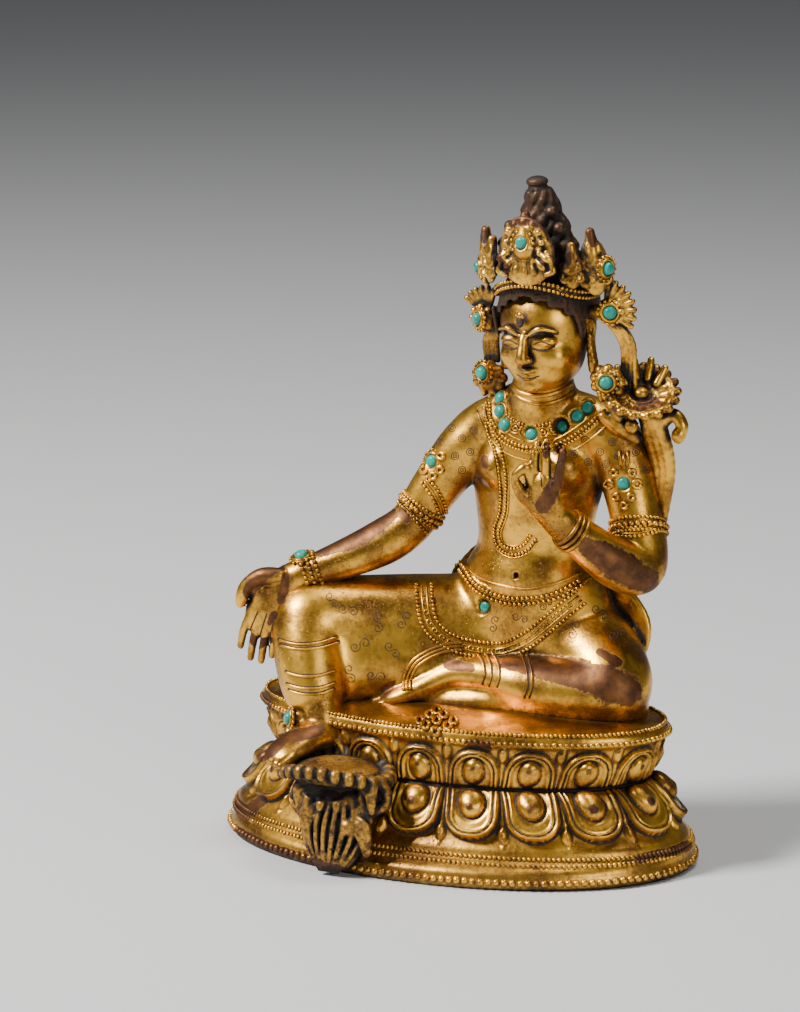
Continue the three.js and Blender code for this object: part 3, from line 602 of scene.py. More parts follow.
def torso(field):
    field.limb([[11, 11, 14, 18, 10.2], [11.5, 10, 22, 15.6, 9.4], [12.2, 8.8, 29, 11.8, 7.6],
                [12.6, 8.3, 36, 10.6, 6.8], [13.2, 8, 44, 11.8, 7.4], [13.9, 7.6, 52, 13.2, 7.8],
                [14.6, 7.4, 57.6, 13.8, 6.4]], k=2)
    field.limb([[-1, 8.4, 59, 4.2], [6, 7.6, 61.6, 4.6], [15, 7, 62.6, 5], [24, 7.8, 63, 4.8],
                [31, 8.6, 60, 4.6]], k=2.5)
    field.limb([[15, 6.8, 60, 6, 5.6], [15.4, 6, 66, 5.2, 5], [16.2, 4.8, 72, 5.4, 5.2]], k=2.5)
    # breasts, belly and navel
    for centre in ([7.2, 1.9, 53.2], [21.8, 2, 54]):
        field.egg(centre, [4.3, 3.9, 4.4], k=1.6)
        field.egg([centre[0] - 0.3, centre[1] - 3.8, centre[2] - 0.2], [0.55, 0.5, 0.55], k=0.3)
    field.egg([12.6, 4.6, 29.4], [8.6, 5.4, 6], k=3)
    field.egg([12.4, -0.7, 31], [0.55, 1.2, 0.7], k=0.4, cut=True)
    # folds of the neck
    for z, y in ((66.4, 5.9), (68.6, 5.3), (70.6, 4.9)):
        field.ring([15.5 + (z - 66) * 0.1, y, z], [0.08, -0.22, 1], 5.6, 0.7, k=0.3)
    # groove of the spine
    field.limb([[14, 16.4, 56, 0.8], [12.8, 16.6, 44, 0.8], [12.4, 16.4, 33, 0.8]], k=2, cut=True)


# three places along each finger, in the pose
RIGHT_FINGERS = [
    [[-36.9, -12, 20.6], [-37.9, -12.9, 15.4], [-38.9, -12.5, 11]],
    [[-39, -12.4, 20], [-40.3, -13.2, 14.4], [-41.3, -12.8, 9.6]],
    [[-41.1, -12.5, 20], [-42.7, -13.3, 14.6], [-43.8, -12.9, 10]],
    [[-43.1, -12.6, 20.6], [-45, -13.3, 16.4], [-46.1, -13, 12.4]],
]
LEFT_FINGERS = [
    [[22.3, -13, 53.4], [21.9, -13.5, 58.6], [22.4, -13, 62.6]],
    [[24.3, -13, 53.8], [24.5, -13.4, 59.2], [24.3, -12.8, 63.2]],
    [[26.2, -12.8, 52.8], [27.3, -13.3, 57.2], [28.2, -13.5, 61.6]],
]


def right_arm(field):
    field.limb([[1, 8, 58.2, 5.5], [-3.4, 7.2, 54, 5.4], [-9, 5, 46, 4.6], [-13.4, 3, 38.8, 4.1],
                [-18.6, 0, 34.8, 4.3], [-26, -4, 31.2, 3.6], [-32.4, -7.2, 28.6, 2.8],
                [-35.6, -9, 27, 2.8, 2.3]], k=1.6)
    # hand turned outwards over the knee, fingers down
    field.limb([[-35.8, -9.4, 27.2, 3, 2.1], [-38.4, -11, 24, 3.9, 1.9], [-40.4, -12, 20.4, 3.7, 1.7],
                [-41.4, -12.2, 18.2, 3.3, 1.4]], k=1)
    field.egg([-37.4, -12.2, 24.4], [1.8, 1.3, 2.6], k=0.8)
    field.egg([-41.6, -12.8, 24], [1.6, 1.3, 2.4], k=0.8)
    for finger in RIGHT_FINGERS:
        field.limb(stations(finger, 1.0, 0.92, 0.76), k=0.1)
    field.limb([[-37.4, -11.6, 28.2, 1.7], [-41.2, -12.8, 28, 1.6], [-44.4, -13.6, 25.4, 1.4],
                [-45.6, -13.8, 22, 1.1]], k=0.6)


def left_arm(field):
    field.limb([[31.2, 8.6, 59.2, 5.2], [33.6, 8.4, 54, 5.4], [35.8, 7.4, 46, 5], [38.2, 5.2, 38.6, 4.8],
                [38.6, 2.6, 34.4, 4.7], [35.2, -2, 36.4, 4.5], [30.6, -6, 41, 3.7], [27, -9, 45, 2.9],
                [25.4, -10.4, 47, 2.7, 2.3]], k=1.6, flat=(0.3, 1, 0))
    # the raised hand, thumb and forefinger closing a ring
    field.limb([[25, -11, 47, 2.7, 2.2], [23.8, -12.4, 50, 3.3, 2], [23.2, -13, 53.6, 3.2, 1.7]],
               k=0.9, flat=(0.2, 1, -0.2))
    field.egg([26, -13, 50], [1.7, 1.5, 2.8], k=0.8)
    field.egg([21.9, -13.4, 50.4], [1.5, 1.4, 2.4], k=0.8)
    for finger in LEFT_FINGERS:
        field.limb(stations(finger, 1.05, 0.98, 0.8), k=0.15)
    field.limb([[21.2, -13, 54, 1.15], [20.6, -14.6, 57.8, 1.05], [18.6, -15.6, 56.2, 0.85]], k=0.35)
    field.limb([[22.2, -12.6, 49.8, 1.5], [19.8, -14.2, 51.8, 1.3], [18.4, -15.4, 55, 0.9]], k=0.4)


def make_upper():
    field = Field([-52, -20, 6], [47, 22, 76], 0.44)
    torso(field)
    right_arm(field)
    left_arm(field)
    necklaces = [f"necklace_{number}" for number in range(1, 8)]
    bosses(field, *necklaces, size=1.9)
    bosses(field, "armlet_right", "armlet_left", "bracelet_right")
    clear_stones(field)
    return from_field(field, "figure_torso_and_arms", gilt)


# Hips, legs and garments

def toes(field, root, root_step, tip, tip_step):
    """Five toes side by side: place and half width of the first one's ends, and the steps to the next's."""
    ends, steps = np.array([root, tip], float), np.array([root_step, tip_step], float)
    for toe in range(5):
        field.limb(ends + toe * steps, k=0.3)


def right_leg(field):
    field.limb([[2, 9.6, 16, 9.4], [-8, 6.6, 17, 9.1], [-19, 1.4, 17.6, 8.5], [-28, -4.6, 18.6, 7.6],
                [-32.4, -8, 18.8, 7.1]], k=2.5)
    field.limb([[-32.2, -8, 18.4, 7], [-30.6, -11, 13, 6.8], [-29, -13, 8.4, 6.3], [-27.6, -14.4, 4.8, 5.8]],
               k=2)
    # bare ankle and foot
    field.limb([[-27, -14.4, 6, 4.6], [-25, -16.8, 0.6, 4.1], [-24, -17.4, -2.4, 4]], k=0.5)
    field.limb([[-22.6, -15.8, -3, 3.2, 3], [-25.6, -21, -2.8, 3.8, 2.8], [-28.6, -27, -4.6, 4.2, 1.9]],
               k=1.2, flat=UP)
    toes(field, [-25.8, -29.2, -5, 1.15], [-1.5, 0.6, 0, -0.06],
         [-27, -32.4, -6.2, 1.0], [-1.6, 1.0, 0, -0.07])
    # garment between the knee and the seat
    field.limb([[-28, -8, 9, 6, 9], [-18, -2.4, 9, 7, 9.6], [-4, 3.6, 8.6, 8.4, 9.4], [6, 7, 8, 8, 8]],
               k=3, flat=UP)


def left_leg(field):
    field.limb([[19.6, 10.6, 14.6, 8.8], [27, 8.4, 13, 8.3], [31.4, 5, 10, 7.5], [33.4, 2, 8, 6.8]], k=2.5)
    field.limb([[33.2, 1.4, 7.8, 6.6], [26.4, -0.4, 7.4, 6.2], [19, -1.6, 7.6, 5.9], [11.6, -2.2, 8.6, 5.1]],
               k=1.5, flat=UP)
    field.limb([[13, -2.2, 8.4, 4.4], [5.6, -2.6, 9.4, 3.9], [-1, -3.4, 8.8, 3.4, 3.2],
                [-7, -5.4, 6.2, 3.6, 2.6], [-12, -7.4, 4, 3.6, 2]], k=0.5, flat=UP)
    toes(field, [-12.4, -9.6, 3, 1.1], [-0.5, 1.3, 0.35, -0.05],
         [-16.6, -10.6, 1.6, 0.95], [-0.1, 1.5, 0.5, -0.06])
    field.limb([[-8, 0, 3, 6, 2.4], [8, 2, 4.2, 8, 3.8], [26, 5, 4.4, 8, 4], [34, 4, 3.6, 5, 3]],
               k=2.5, flat=UP)


def sashes(field):
    """Fluted sash ends behind both hips, the left one curling in at its end."""
    for fold in range(5):
        lift = (fold - 2) * 1.7
        field.limb([[19, 14.4, 28 + lift * 0.3, 1.0], [24, 15, 26.6 + lift * 0.8, 1.0],
                    [30.4, 15, 23.4 + lift, 0.86], [34 + lift * 0.6, 14.2, 18.6 + lift * 0.5, 0.84],
                    [33 + lift * 0.7, 13.4, 13.8 - lift * 0.2, 0.8],
                    [29.6 + lift * 0.3, 13, 12.8 - lift * 0.6, 0.7]], k=0.08)
        field.limb([[3, 13, 31.4 + lift * 0.5, 1.0], [-2, 13.4, 29.4 + lift * 0.8, 1.1],
                    [-7, 12.2, 24.6 + lift * 0.6, 1.0]], k=0.25)


def make_lower():
    field = Field([-46, -36, -12], [46, 24, 34], 0.5)
    field.limb([[11, 11.5, 5, 15, 8.4], [11, 11, 14, 18.3, 10.4], [11.5, 10, 22, 16.1, 9.9],
                [12.2, 8.9, 29, 12.5, 8.3]], k=2)

    def above_the_cloth(x, y, z):
        """All that lies over the garment's wavy upper edge."""
        edge = 27.5 + 0.014 * (x - 12) ** 2 + 0.35 * np.sin(1.1 * x) * np.cos(0.4 * x)
        return (edge - z) * 0.9 + 0 * y

    field.put(above_the_cloth, [-20, -10, 24], [46, 24, 50], k=0.5, cut=True)
    right_leg(field)
    left_leg(field)
    sashes(field)
    bosses(field, "girdle", "anklet_right")
    clear_stones(field)
    return from_field(field, "figure_legs", gilt)


# Head, laid out in a frame of its own: x to the figure's left, y back, z up

HEAD_PLACE = np.array([17, 3.4, 82])
HEAD_TURN = np.array(
    Matrix.Rotation(math.radians(6), 3, "X")
    @ Matrix.Rotation(math.radians(-4), 3, "Y")
    @ Matrix.Rotation(math.radians(-6), 3, "Z")
)
SIDES = (-1, 1)


def in_head(place):
    """A place of the head's frame in the pose."""
    return HEAD_TURN @ np.array(place, float) + HEAD_PLACE


def seat_in_head(name):
    """The foot of a stone in the head's frame."""
    return HEAD_TURN.T @ (to_pose(SEATS[name][0])[0] - HEAD_PLACE)


def circle(angle):
    return np.array([math.cos(angle), 0, math.sin(angle)])


def on_side(side, rows):
    """Rows of the figure's left, or the same on its right."""
    return [[side * row[0], *row[1:]] for row in rows]


class HeadField(Field):
    """A grid whose limbs, eggs and rings are written in the head's frame."""

    def limb(self, rows, **options):
        super().limb([[*in_head(row[:3]), *row[3:]] for row in rows], **options)

    def egg(self, centre, radii, turn=None, **options):
        turn = HEAD_TURN if turn is None else HEAD_TURN @ turn
        super().egg(in_head(centre), radii, turn=turn, **options)

    def ball(self, centre, radius, k=0.1):
        self.egg(centre, [radius] * 3, k=k)

    def ring(self, centre, normal, radius, thick, k=0.1):
        super().ring(in_head(centre), HEAD_TURN @ np.array(normal, float), radius, thick, k)

    def curl(self, centre, normal, radius, thick, knob):
        self.ring(centre, normal, radius, thick)
        self.ball(centre, knob)


def face(field):
    field.egg([0, 1, 2.4], [9.5, 9.2, 9.8], k=1)
    field.egg([0, -0.6, -3.4], [8.6, 8, 8], k=2)
    field.egg([0, -3.4, -6.6], [5.6, 5.2, 4.4], k=2)
    field.egg([0, -7.4, -9.2], [1.9, 1.5, 1.4], k=1.2)
    for side in SIDES:
        field.egg([side * 4.6, -5.2, -3.4], [3, 2.6, 2.6], k=1.6)
        # eyeball under a lowered lid, with the slit below it
        field.egg([side * 3.9, -7, 0.5], [2.5, 1.4, 1.25], k=0.7)
        slit = [[1.9, -8.9, -0.1, 0.16], [3.7, -8.9, -0.55, 0.18], [5.9, -7.9, -0.05, 0.14]]
        brow = [[1.2, -8.9, 2.0, 0.3], [3.9, -8.6, 3.4, 0.32], [6.9, -6.8, 2.4, 0.2]]
        field.limb(on_side(side, slit), k=0.1, cut=True)
        field.limb(on_side(side, brow), k=0.7)
        field.egg([side * 1.2, -9.7, -3.1], [0.8, 0.8, 0.7], k=0.4)
        # ears with long lobes
        ear = [[9.4, 1.4, 3.4, 0.9, 1.6], [10.1, 2, 1.6, 0.9, 1.6], [10, 1.2, -2, 0.8, 1.3],
               [10.4, 0.6, -7.4, 1.1]]
        field.limb(on_side(side, ear), k=0.5)
        field.egg([side * 10.7, 0.6, 1.4], [0.7, 0.9, 1.5], k=0.3, cut=True)
    field.limb([[0, -8.7, 1.8, 0.65], [0, -9.6, -0.6, 0.8], [0, -10.5, -2.7, 1.05]], k=0.7)
    field.egg([0, -10.4, -3], [1.1, 1.0, 0.85], k=0.4)
    # lips
    field.limb([[-2.7, -7.7, -5.4, 0.3], [-0.8, -8.9, -5.5, 0.62], [0.8, -8.9, -5.5, 0.62],
                [2.7, -7.7, -5.4, 0.3]], k=0.3)
    field.limb([[-2, -7.9, -6.3, 0.4], [0, -8.7, -6.8, 0.78], [2, -7.9, -6.3, 0.4]], k=0.3)
    field.limb([[-2.5, -8.5, -5.85, 0.12], [0, -9.5, -6.05, 0.14], [2.5, -8.5, -5.85, 0.12]],
               k=0.08, cut=True)
    field.egg([0, -9.2, 6], [0.85, 0.5, 1.05], k=0.15)


def make_head():
    field = HeadField([2, -12, 68], [32, 16, 96], 0.26)
    face(field)
    return from_field(field, "figure_head", gilt)


def hairline(field, side):
    """One side's waves drawn back from the parting, locks before the ear, and curls under the diadem."""
    for row in range(4):
        points = []
        for step in range(9):
            angle = math.radians(4 + step * 12.5)
            wave = 0.5 * math.sin(step * 2.1 + row)
            height = 10.6 + row * 0.9 - 5.8 * math.sin(angle) ** 2 + wave * 0.5
            out = 10.1 - row * 0.3
            ahead = (7.6 + row * 0.35) * math.cos(angle)
            points.append([0.6 + side * out * math.sin(angle), 1.2 - ahead, height, 0.62])
        field.limb(points, k=0.12, per=2)
    for lock in (0, 0.9):
        rows = [[9.4, -3.6, 6, 0.5], [9.9, -2.6 + lock, 3, 0.5], [9.8, -2.2 + lock, 0, 0.35]]
        field.limb(on_side(side, rows), k=0.1)
    for curl in range(11):
        angle = math.radians(5 + curl * 9.5)
        across, ahead = math.sin(angle), math.cos(angle)
        height = 10.7 - 6.2 * across**2 + 0.35 * (-1) ** curl
        centre = [0.6 + side * 10.3 * across, 1.2 - 8.6 * ahead, height]
        field.curl(centre, [side * across, -ahead, 0.25], 0.9, 0.42, 0.55)


def chignon(field):
    """Hair piled up in twisted strands, with small curls over them and a knob on top."""
    for strand in range(9):
        points = []
        for step in range(16):
            rise = step / 15
            turn = strand * 2 * math.pi / 9 + rise * 4.2
            girth = (7.4 - 5.2 * rise**1.1) * (1 + 0.12 * math.sin(step * 2.2 + strand))
            across, ahead = girth * math.cos(turn), girth * 0.9 * math.sin(turn)
            points.append([1 + rise * 0.6 + across, 2.2 - rise + ahead, 10 + 19.6 * rise, 1.35 - 0.5 * rise])
        field.limb(points, k=0.12, per=2)
    field.limb([[0.6, 2.2, 9, 6.6], [1.2, 1.8, 18, 4.6], [1.4, 1.2, 28, 2.2]], k=0.3)
    for curl in range(44):
        rise = (curl + 0.5) / 44
        turn = curl * 2.4
        girth = 8 - 5.4 * rise
        across, ahead = math.cos(turn), math.sin(turn)
        centre = [1 + rise * 0.6 + girth * across, 2.2 - rise + girth * 0.9 * ahead, 12 + 16.5 * rise]
        field.curl(centre, [across, ahead, 0.2], 1.15, 0.5, 0.5)
    # locks that end in knobs beside the plaque
    for place in ([5.1, -1, 26], [7.4, -2.4, 23], [8.4, -2.6, 19.4], [-4.4, -2, 23], [-6, -2.6, 19.6]):
        field.ball(place, 1.3, k=0.15)
    for turn in range(3):
        field.egg([1.4, 1, 29.4 + turn * 1.2], [2.7 - turn * 0.5, 2.3 - turn * 0.4, 0.75], k=0.1)
    field.egg([1.3, 1, 31.8], [2.4, 2, 1.15], k=0.2)


def leaf_plaque(field, base, tip, out, width, tiers):
    """A pointed plaque with flame-like scrolls along both edges and a raised rib."""
    base, tip, out = [np.array(v, float) for v in (base, tip, out)]
    height = np.linalg.norm(tip - base)
    up = (tip - base) / height
    out = out - up * (out @ up)
    out /= np.linalg.norm(out)
    across = np.cross(up, out)
    axes = np.stack([across, out, up], 1)
    field.egg(base + up * height * 0.4, [width * 0.5, 0.8, height * 0.46], k=0.3, turn=axes)
    field.limb(stations([base + up * height * 0.5, base + up * (height - 0.8)], width * 0.22, 1.0), k=0.4)
    for tier in range(tiers):
        rise = (tier + 0.3) / tiers
        for side in SIDES:
            aside = across * side * width
            root = base + up * height * (0.06 + 0.72 * rise) + aside * 0.36 * (1 - rise**1.6)
            bend = root + aside * 0.13 * (1 - 0.5 * rise) + up * height * 0.05
            curl = bend + up * height * 0.1 - aside * 0.04
            places = [root + out * 0.6, bend + out * 0.5, curl + out * 0.7]
            field.limb(stations(places, 0.6, 0.62, 0.42), k=0.08, per=3)
            inner = base + up * height * (0.1 + 0.66 * rise) + aside * 0.16 * (1 - rise)
            field.ring(inner + out * 0.6, out, 0.62, 0.3, k=0.06)


def fan(field, root, way, spread_way, length, ribs, spread):
    """A pleated ribbon fan, its ribs with grooves between them."""
    root, way, spread_way = [np.array(v, float) for v in (root, way, spread_way)]
    for rib in range(2 * ribs - 1):
        swing = math.radians((rib / (2 * ribs - 2) - 0.5) * spread)
        pleat, reach = (0.66, length) if rib % 2 == 0 else (0.3, length * 0.92)
        tip = root + (way * math.cos(swing) + spread_way * math.sin(swing)) * reach
        field.limb(stations([root, (root + tip) / 2, tip], 0.4, 0.24 + pleat * 0.4, pleat), k=0.04, per=2)


def ear_flower(field, heart, width, height):
    """An ear pendant: petals in two rings round a stone, with drops below."""
    size = np.array([width, 0, height])
    for petal in range(9):
        way = size * circle(petal * 2 * math.pi / 9)
        field.egg(heart + way * 0.78 + [0, 0.3, 0], [1.15, 1.2, 1.15], k=0.12)
        if petal % 2 == 0:
            field.ball(heart + way * 0.42 + [0, -0.9, 0], 0.7)
    field.egg(heart, [width * 0.8, 1.6, height * 0.8], k=0.2)
    for drop in (-1.5, 0, 1.5):
        field.egg(heart + [drop, 0, -height - 0.4 + abs(drop) * 0.4], [0.75, 0.8, 0.85], k=0.1)


def band_point(angle, lift=0.0, stand=0.0):
    """A point of the diadem's band."""
    across, ahead = math.sin(angle), math.cos(angle)
    return [1.2 + (11 + stand) * across, 1.2 - (10 + stand) * ahead, 13 - 4.4 * across**2 + lift]


def front_plaque(field):
    """The diadem's middle plaque, its stone ringed by petals and leaves."""
    leaf_plaque(field, [2.3, -8.8, 13.2], [2, -6.2, 27.4], [0.05, -1, 0.1], 13, 4)
    heart = seat_in_head("diadem_front")
    field.egg(heart + [0, 1.4, 0], [5.2, 1.3, 5.2], k=0.3)
    field.egg(heart + [0, 2, -4.6], [5.4, 1.2, 3.6], k=0.4)
    for radius, thick, stand in ((3.4, 0.28, 0.3), (4.9, 0.36, 1.0)):
        field.ring(heart + [0, stand, 0], [0, 1, 0], radius, thick, k=0.08)
    for ring, lobes, size in ((2.7, 14, 0.45), (4.1, 12, 0.8)):
        for lobe in range(lobes):
            way = ring * circle(lobe * 2 * math.pi / lobes)
            field.ball(heart + way + [0, 0.4 + 0.13 * way[2], 0], size, k=0.08)
    for leaf in range(7):
        way = circle(math.radians(-150 + leaf * 20))
        places = [heart + way * 4.6, heart + way * 6.2 + [0, -0.3, 0], heart + way * 7.2 + [0, 0.4, 0]]
        field.limb(stations(places, 0.55, 0.85, 0.6), k=0.06)


def crown(field):
    band = [[*band_point(math.radians(-96 + step * 12), stand=-0.5), 0.5, 0.6] for step in range(17)]
    field.limb(band, k=0.1, flat=UP, per=2)
    front_plaque(field)
    # side leaves
    for base, tip, out, width in (
        ([-10.9, -3, 10.2], [-10.8, -1, 22.6], [-0.8, -0.6, 0], 6.6),
        ([-7.6, -6.6, 12.6], [-7.4, -4.4, 21.6], [-0.4, -0.9, 0], 4.2),
        ([14.1, -1.4, 9.5], [13.1, -0.2, 22.6], [0.7, -0.7, 0], 6.4),
        ([10.8, -5.2, 11.6], [10.2, -3.4, 20.4], [0.4, -0.9, 0], 4.4),
    ):
        leaf_plaque(field, base, tip, out, width, 3)
    # pleated fans over the ears
    fan(field, [-13.4, 0.6, 3], [-0.28, 0, 0.96], [-0.96, 0, -0.28], 6, 6, 74)
    fan(field, [14.6, 0.2, 5.2], [0.9, 0.18, 0.42], [-0.42, 0, 0.9], 6.3, 8, 112)
    field.limb([[-10.4, 1, 4, 1.2], [-13.4, 0.4, 3, 1.4]], k=0.3)
    field.limb([[10, 1, 4.6, 1.2], [14.6, 0.4, 5.2, 1.6]], k=0.3)
    # ribbons that hang behind the ears
    for edge in (-1.4, -0.5, 0.5, 1.4):
        field.limb([[11.4, 2, 4, 0.5], [15.6 + edge, 2.2, 1.7, 0.5], [17.9 + edge, 2.4, -2.4, 0.5],
                    [17.4 + edge, 2.6, -7.7, 0.5], [16 + edge * 1.6, 3, -13, 0.65]], k=0.12)
        field.limb([[-11, 1.8, 2.6, 0.5], [-14.2 + edge, 2.2, -2, 0.5], [-14.4 + edge, 1.8, -7, 0.6]], k=0.12)
    ear_flower(field, np.array([-14.2, -0.6, -10.2]), 4, 3.4)
    ear_flower(field, np.array([13.8, -0.6, -9.8]), 3.7, 3.6)
    for name in ("ear_right", "ear_left"):
        heart = seat_in_head(name)
        for petal in range(8):
            field.egg(heart + 2.3 * circle(petal * math.pi / 4) + [0, 0.8, 0], [0.85, 0.9, 0.85], k=0.1)
    sides = [f"{place}_{side}" for place in ("diadem", "ear", "pendant") for side in ("right", "left")]
    bosses(field, "diadem_front", *sides, size=2.1)
    clear_stones(field)


def make_hair_and_crown():
    field = HeadField([-6, -13, 66], [40, 19, 115], 0.33)
    field.egg([0.6, 4.3, 5.4], [9.8, 8.8, 9.4], k=0.8)
    for side in SIDES:
        hairline(field, side)
    chignon(field)
    clear_stones(field)
    hair = from_field(field, "hair", hair_metal)
    field = HeadField([-6, -13, 64], [42, 19, 114], 0.3)
    crown(field)
    regalia = from_field(field, "diadem_and_ear_pendants", crown_metal)
    return hair, regalia


# Lotuses

def shoulder_lotus():
    field = Field([26, -4, 34], [50, 18, 80], 0.34)
    for rib in (-0.9, 0, 0.9):
        field.limb([[39.6 + rib, 8.6, 38, 0.9], [40.8 + rib, 9, 46, 1.1], [41.6 + rib * 1.4, 8.6, 54, 1.3],
                    [40.8 + rib * 1.6, 7, 61, 1.5], [39.4 + rib, 5.4, 67, 1.6]], k=0.3)
    field.limb([[36, 6.6, 61, 1.6], [33, 4, 64, 1.8], [30.6, 2, 66, 1]], k=0.6)
    field.limb([[41, 7, 64, 1.5], [44.4, 6.4, 66.6, 1.3], [46.6, 6, 64.6, 1.2], [46, 5.6, 61.8, 1.0]], k=0.4)
    for centre in ([33.6, 2.6, 66.4], [46, 5.4, 62.6], [36.4, 3.4, 64.2]):
        field.egg(centre, [1.5, 1.3, 1.7], k=0.3)
    # the flower faces up and forward
    heart = np.array([37.9, 5, 71])
    across, along = np.array(RIGHTWARD), np.array(BACKWARD) * 0.8 + [0, 0, 0.6]
    facing = np.cross(across, along)
    field.egg(heart - facing * 2.2, [3.6, 3.6, 3.4], k=0.6)
    lobes = 17
    for lobe in range(lobes):
        angle = lobe * 2 * math.pi / lobes
        way = across * math.cos(angle) * 1.08 + along * math.sin(angle)
        places = [heart + way * out + facing * up for out, up in ((1.6, -2.4), (4.4, -1), (6.9, 0.3))]
        field.limb(stations(places, 1.2, 0.9, 0.95), k=0.3)
    field.ring(heart + facing * 0.2, facing, 6.3, 0.75, k=0.4)
    field.egg(heart + facing * 2.2, [3.8, 3.8, 3.4], k=0.5, cut=True)
    # seed pod, and petals that curl up behind it
    field.egg(heart - facing * 0.6, [1.7, 1.7, 1.5], k=0.2)
    for angle in (0.6, 1.2, 1.8, 2.5):
        way = across * math.cos(angle) + along * math.sin(angle)
        field.limb(stations([heart + way * 4, heart + way * 6 + [0, 0, 2.4]], 1.0, 0.8), k=0.2)
    clear_stones(field)
    return from_field(field, "shoulder_lotus", gilt_dark)


def foot_lotus():
    field = Field([-34, -42, -30], [-2, -14, 2], 0.34)
    centre = np.array([-16.4, -27.6, -6])
    field.egg(centre - [0, 0, 1.4], [9.6, 7.6, 2.6], k=0.6)
    lobes = 26
    for lobe in range(lobes):
        angle = lobe * 2 * math.pi / lobes
        way = np.array([math.cos(angle), math.sin(angle) * 0.84, 0])
        droop = np.array([0, 0, -3 * way[0] ** 2])
        rows = ((5, -3, 0), (9, -0.6, 0.6), (11.2, 1.3, 1), (11.9, 0.5, 1))
        places = [centre + way * out + [0, 0, rise] + droop * share for out, rise, share in rows]
        field.limb(stations(places, 1.2, 0.95, 1.15, 0.9), k=0.5)
    # the sepals below the rim curl outwards
    for lobe in range(11):
        angle = math.radians(-200 + lobe * 22)
        way = np.array([math.cos(angle), math.sin(angle) * 0.84, 0])
        places = [centre + way * out + [0, 0, rise] for out, rise in ((4, -5), (7.6, -4.6), (9.4, -6.8))]
        field.limb(stations(places, 1.5, 1.3, 0.9), k=0.3)
    for rib in (-1.6, 0, 1.6):
        field.limb([[-14.6 + rib, -29.6, -9, 1.5], [-13 + rib * 0.8, -31.6, -14, 1.2],
                    [-13.6 + rib * 0.5, -33, -19, 1.1]], k=0.2)
    # an open cup, dark inside
    field.egg(centre + [0, -0.6, 2.6], [8.2, 6.2, 2.6], k=0.6, cut=True)
    # long fluted leaves that droop together to a point
    for rib in range(8):
        side = (rib - 3.5) / 3.5
        front = 1 - side**2
        field.limb([[-14 + 5 * side, -32.4 - 1.2 * front, -10.6, 0.66],
                    [-14.2 + 7 * side, -33.6 - 2.4 * front, -16.5, 0.74],
                    [-14.8 + 4.8 * side, -34.4 - 1.6 * front, -22.5, 0.62],
                    [-15.4 + 2 * side, -34, -26.6, 0.5]], k=0.04)
    # a dark gap under the rim, and curled leaves at both sides
    field.egg([-16, -34.6, -10], [4.2, 2.4, 1.5], k=0.3, cut=True)
    for place, size, thick in (
        ([-5.8, -31.4, -10.4], 2.5, 1.15),
        ([-21, -31.6, -11], 2.2, 1.05),
        ([-8, -33.4, -14.6], 1.6, 0.85),
    ):
        field.ring(place, [0.3, -1, 0.2], size, thick, k=0.4)
        field.egg(place, [1, 1, 1], k=0.2)
    # smaller fluted leaves that curl away from the stem, and a bud
    field.egg([-14, -30.4, -12.4], [7.6, 3.4, 3.8], k=0.5)
    field.limb([[-14, -30.6, -15, 6, 2.8], [-13.6, -32, -18.6, 5.6, 2.4], [-14.2, -32.6, -22.4, 4.6, 2]],
               k=0.5)
    for start, bend, tip in (
        ([-12, -31, -8], [-6.4, -33, -7.6], [-5.6, -33.6, -13]),
        ([-15.4, -31, -11], [-21.4, -34, -9.6], [-21.4, -34.4, -15.6]),
        ([-14, -32.6, -13], [-19.4, -35, -14.6], [-19.6, -34.8, -21]),
        ([-12, -33, -14], [-7.4, -34.8, -16.4], [-6.4, -34.2, -22]),
    ):
        start, bend, tip = [np.array(p, float) for p in (start, bend, tip)]
        broad = np.cross(tip - start, [0.2, -1, 0])
        broad /= np.linalg.norm(broad)
        for rib in (-1, 0, 1):
            places = [start + broad * rib * 0.6, bend + broad * rib * 1.25, tip + broad * rib * 0.3]
            field.limb(stations(places, 0.8, 0.78, 0.55), k=0.1)
    field.egg([-10.4, -34.6, -16.4], [1.9, 1.9, 1.9], k=0.3)
    clear_stones(field)
    return from_field(field, "foot_lotus", leaf_metal)


# Plinth

FOOT_DEPTH_RATIO, RIM_DEPTH_RATIO, PLATE_DEPTH_RATIO = 0.61, 0.54, 0.49
FOOT_RIM_HEIGHT, MIDDLE_RIM_HEIGHT, WAIST_HEIGHT, PLATE_HEIGHT = 3.0, 6.2, 18.3, 29.2
PETAL_COUNT = 18
# half width and height of the flank, from the floor to the cushion's middle
FLANK = [
    [51.4, 0], [52, 0.8], [52.1, 2], [51.7, 2.9], [51.5, 4], [51.3, 5.2], [51, 6.2], [50.4, 7.2], [49.2, 8.2],
    [48, 9.4], [47, 11], [45.4, 14], [43.2, 16.6], [41.4, 17.8], [40.8, 18.4], [41.2, 19.2], [42.2, 21.4],
    [43, 24], [43.6, 26.4], [44.4, 27.3], [45.4, 27.9], [45.7, 28.6], [45.5, 29.4], [45, 30], [44.4, 30.3],
    [43.4, 30.2], [42.6, 30.2], [36, 30.8], [24, 31.5], [10, 31.9], [0.2, 32],
]
COLUMNS_PER_PETAL, PLINTH_ROWS = 44, 122
# the oval on which the petals are shared out evenly: half width, depth ratio, and a petal's stretch of it
PITCH_HALF_WIDTH, PITCH_DEPTH_RATIO, PETAL_PITCH = 46, 0.53, 13.2
# the carved flank is wider than this, the smooth cushion on top narrower
FLANK_HALF_WIDTH, CUSHION_HALF_WIDTH = 40, 42
CARVED_FROM = 7.4
# the plinth's petals: from and to this height, half width, how far they stand out at the root and at the tip
LOWER_PETALS = (18.0, 8.7, 6.0, 0.5, 2.1)
UPPER_PETALS = (18.8, 26.9, 5.6, 0.5, 1.0)
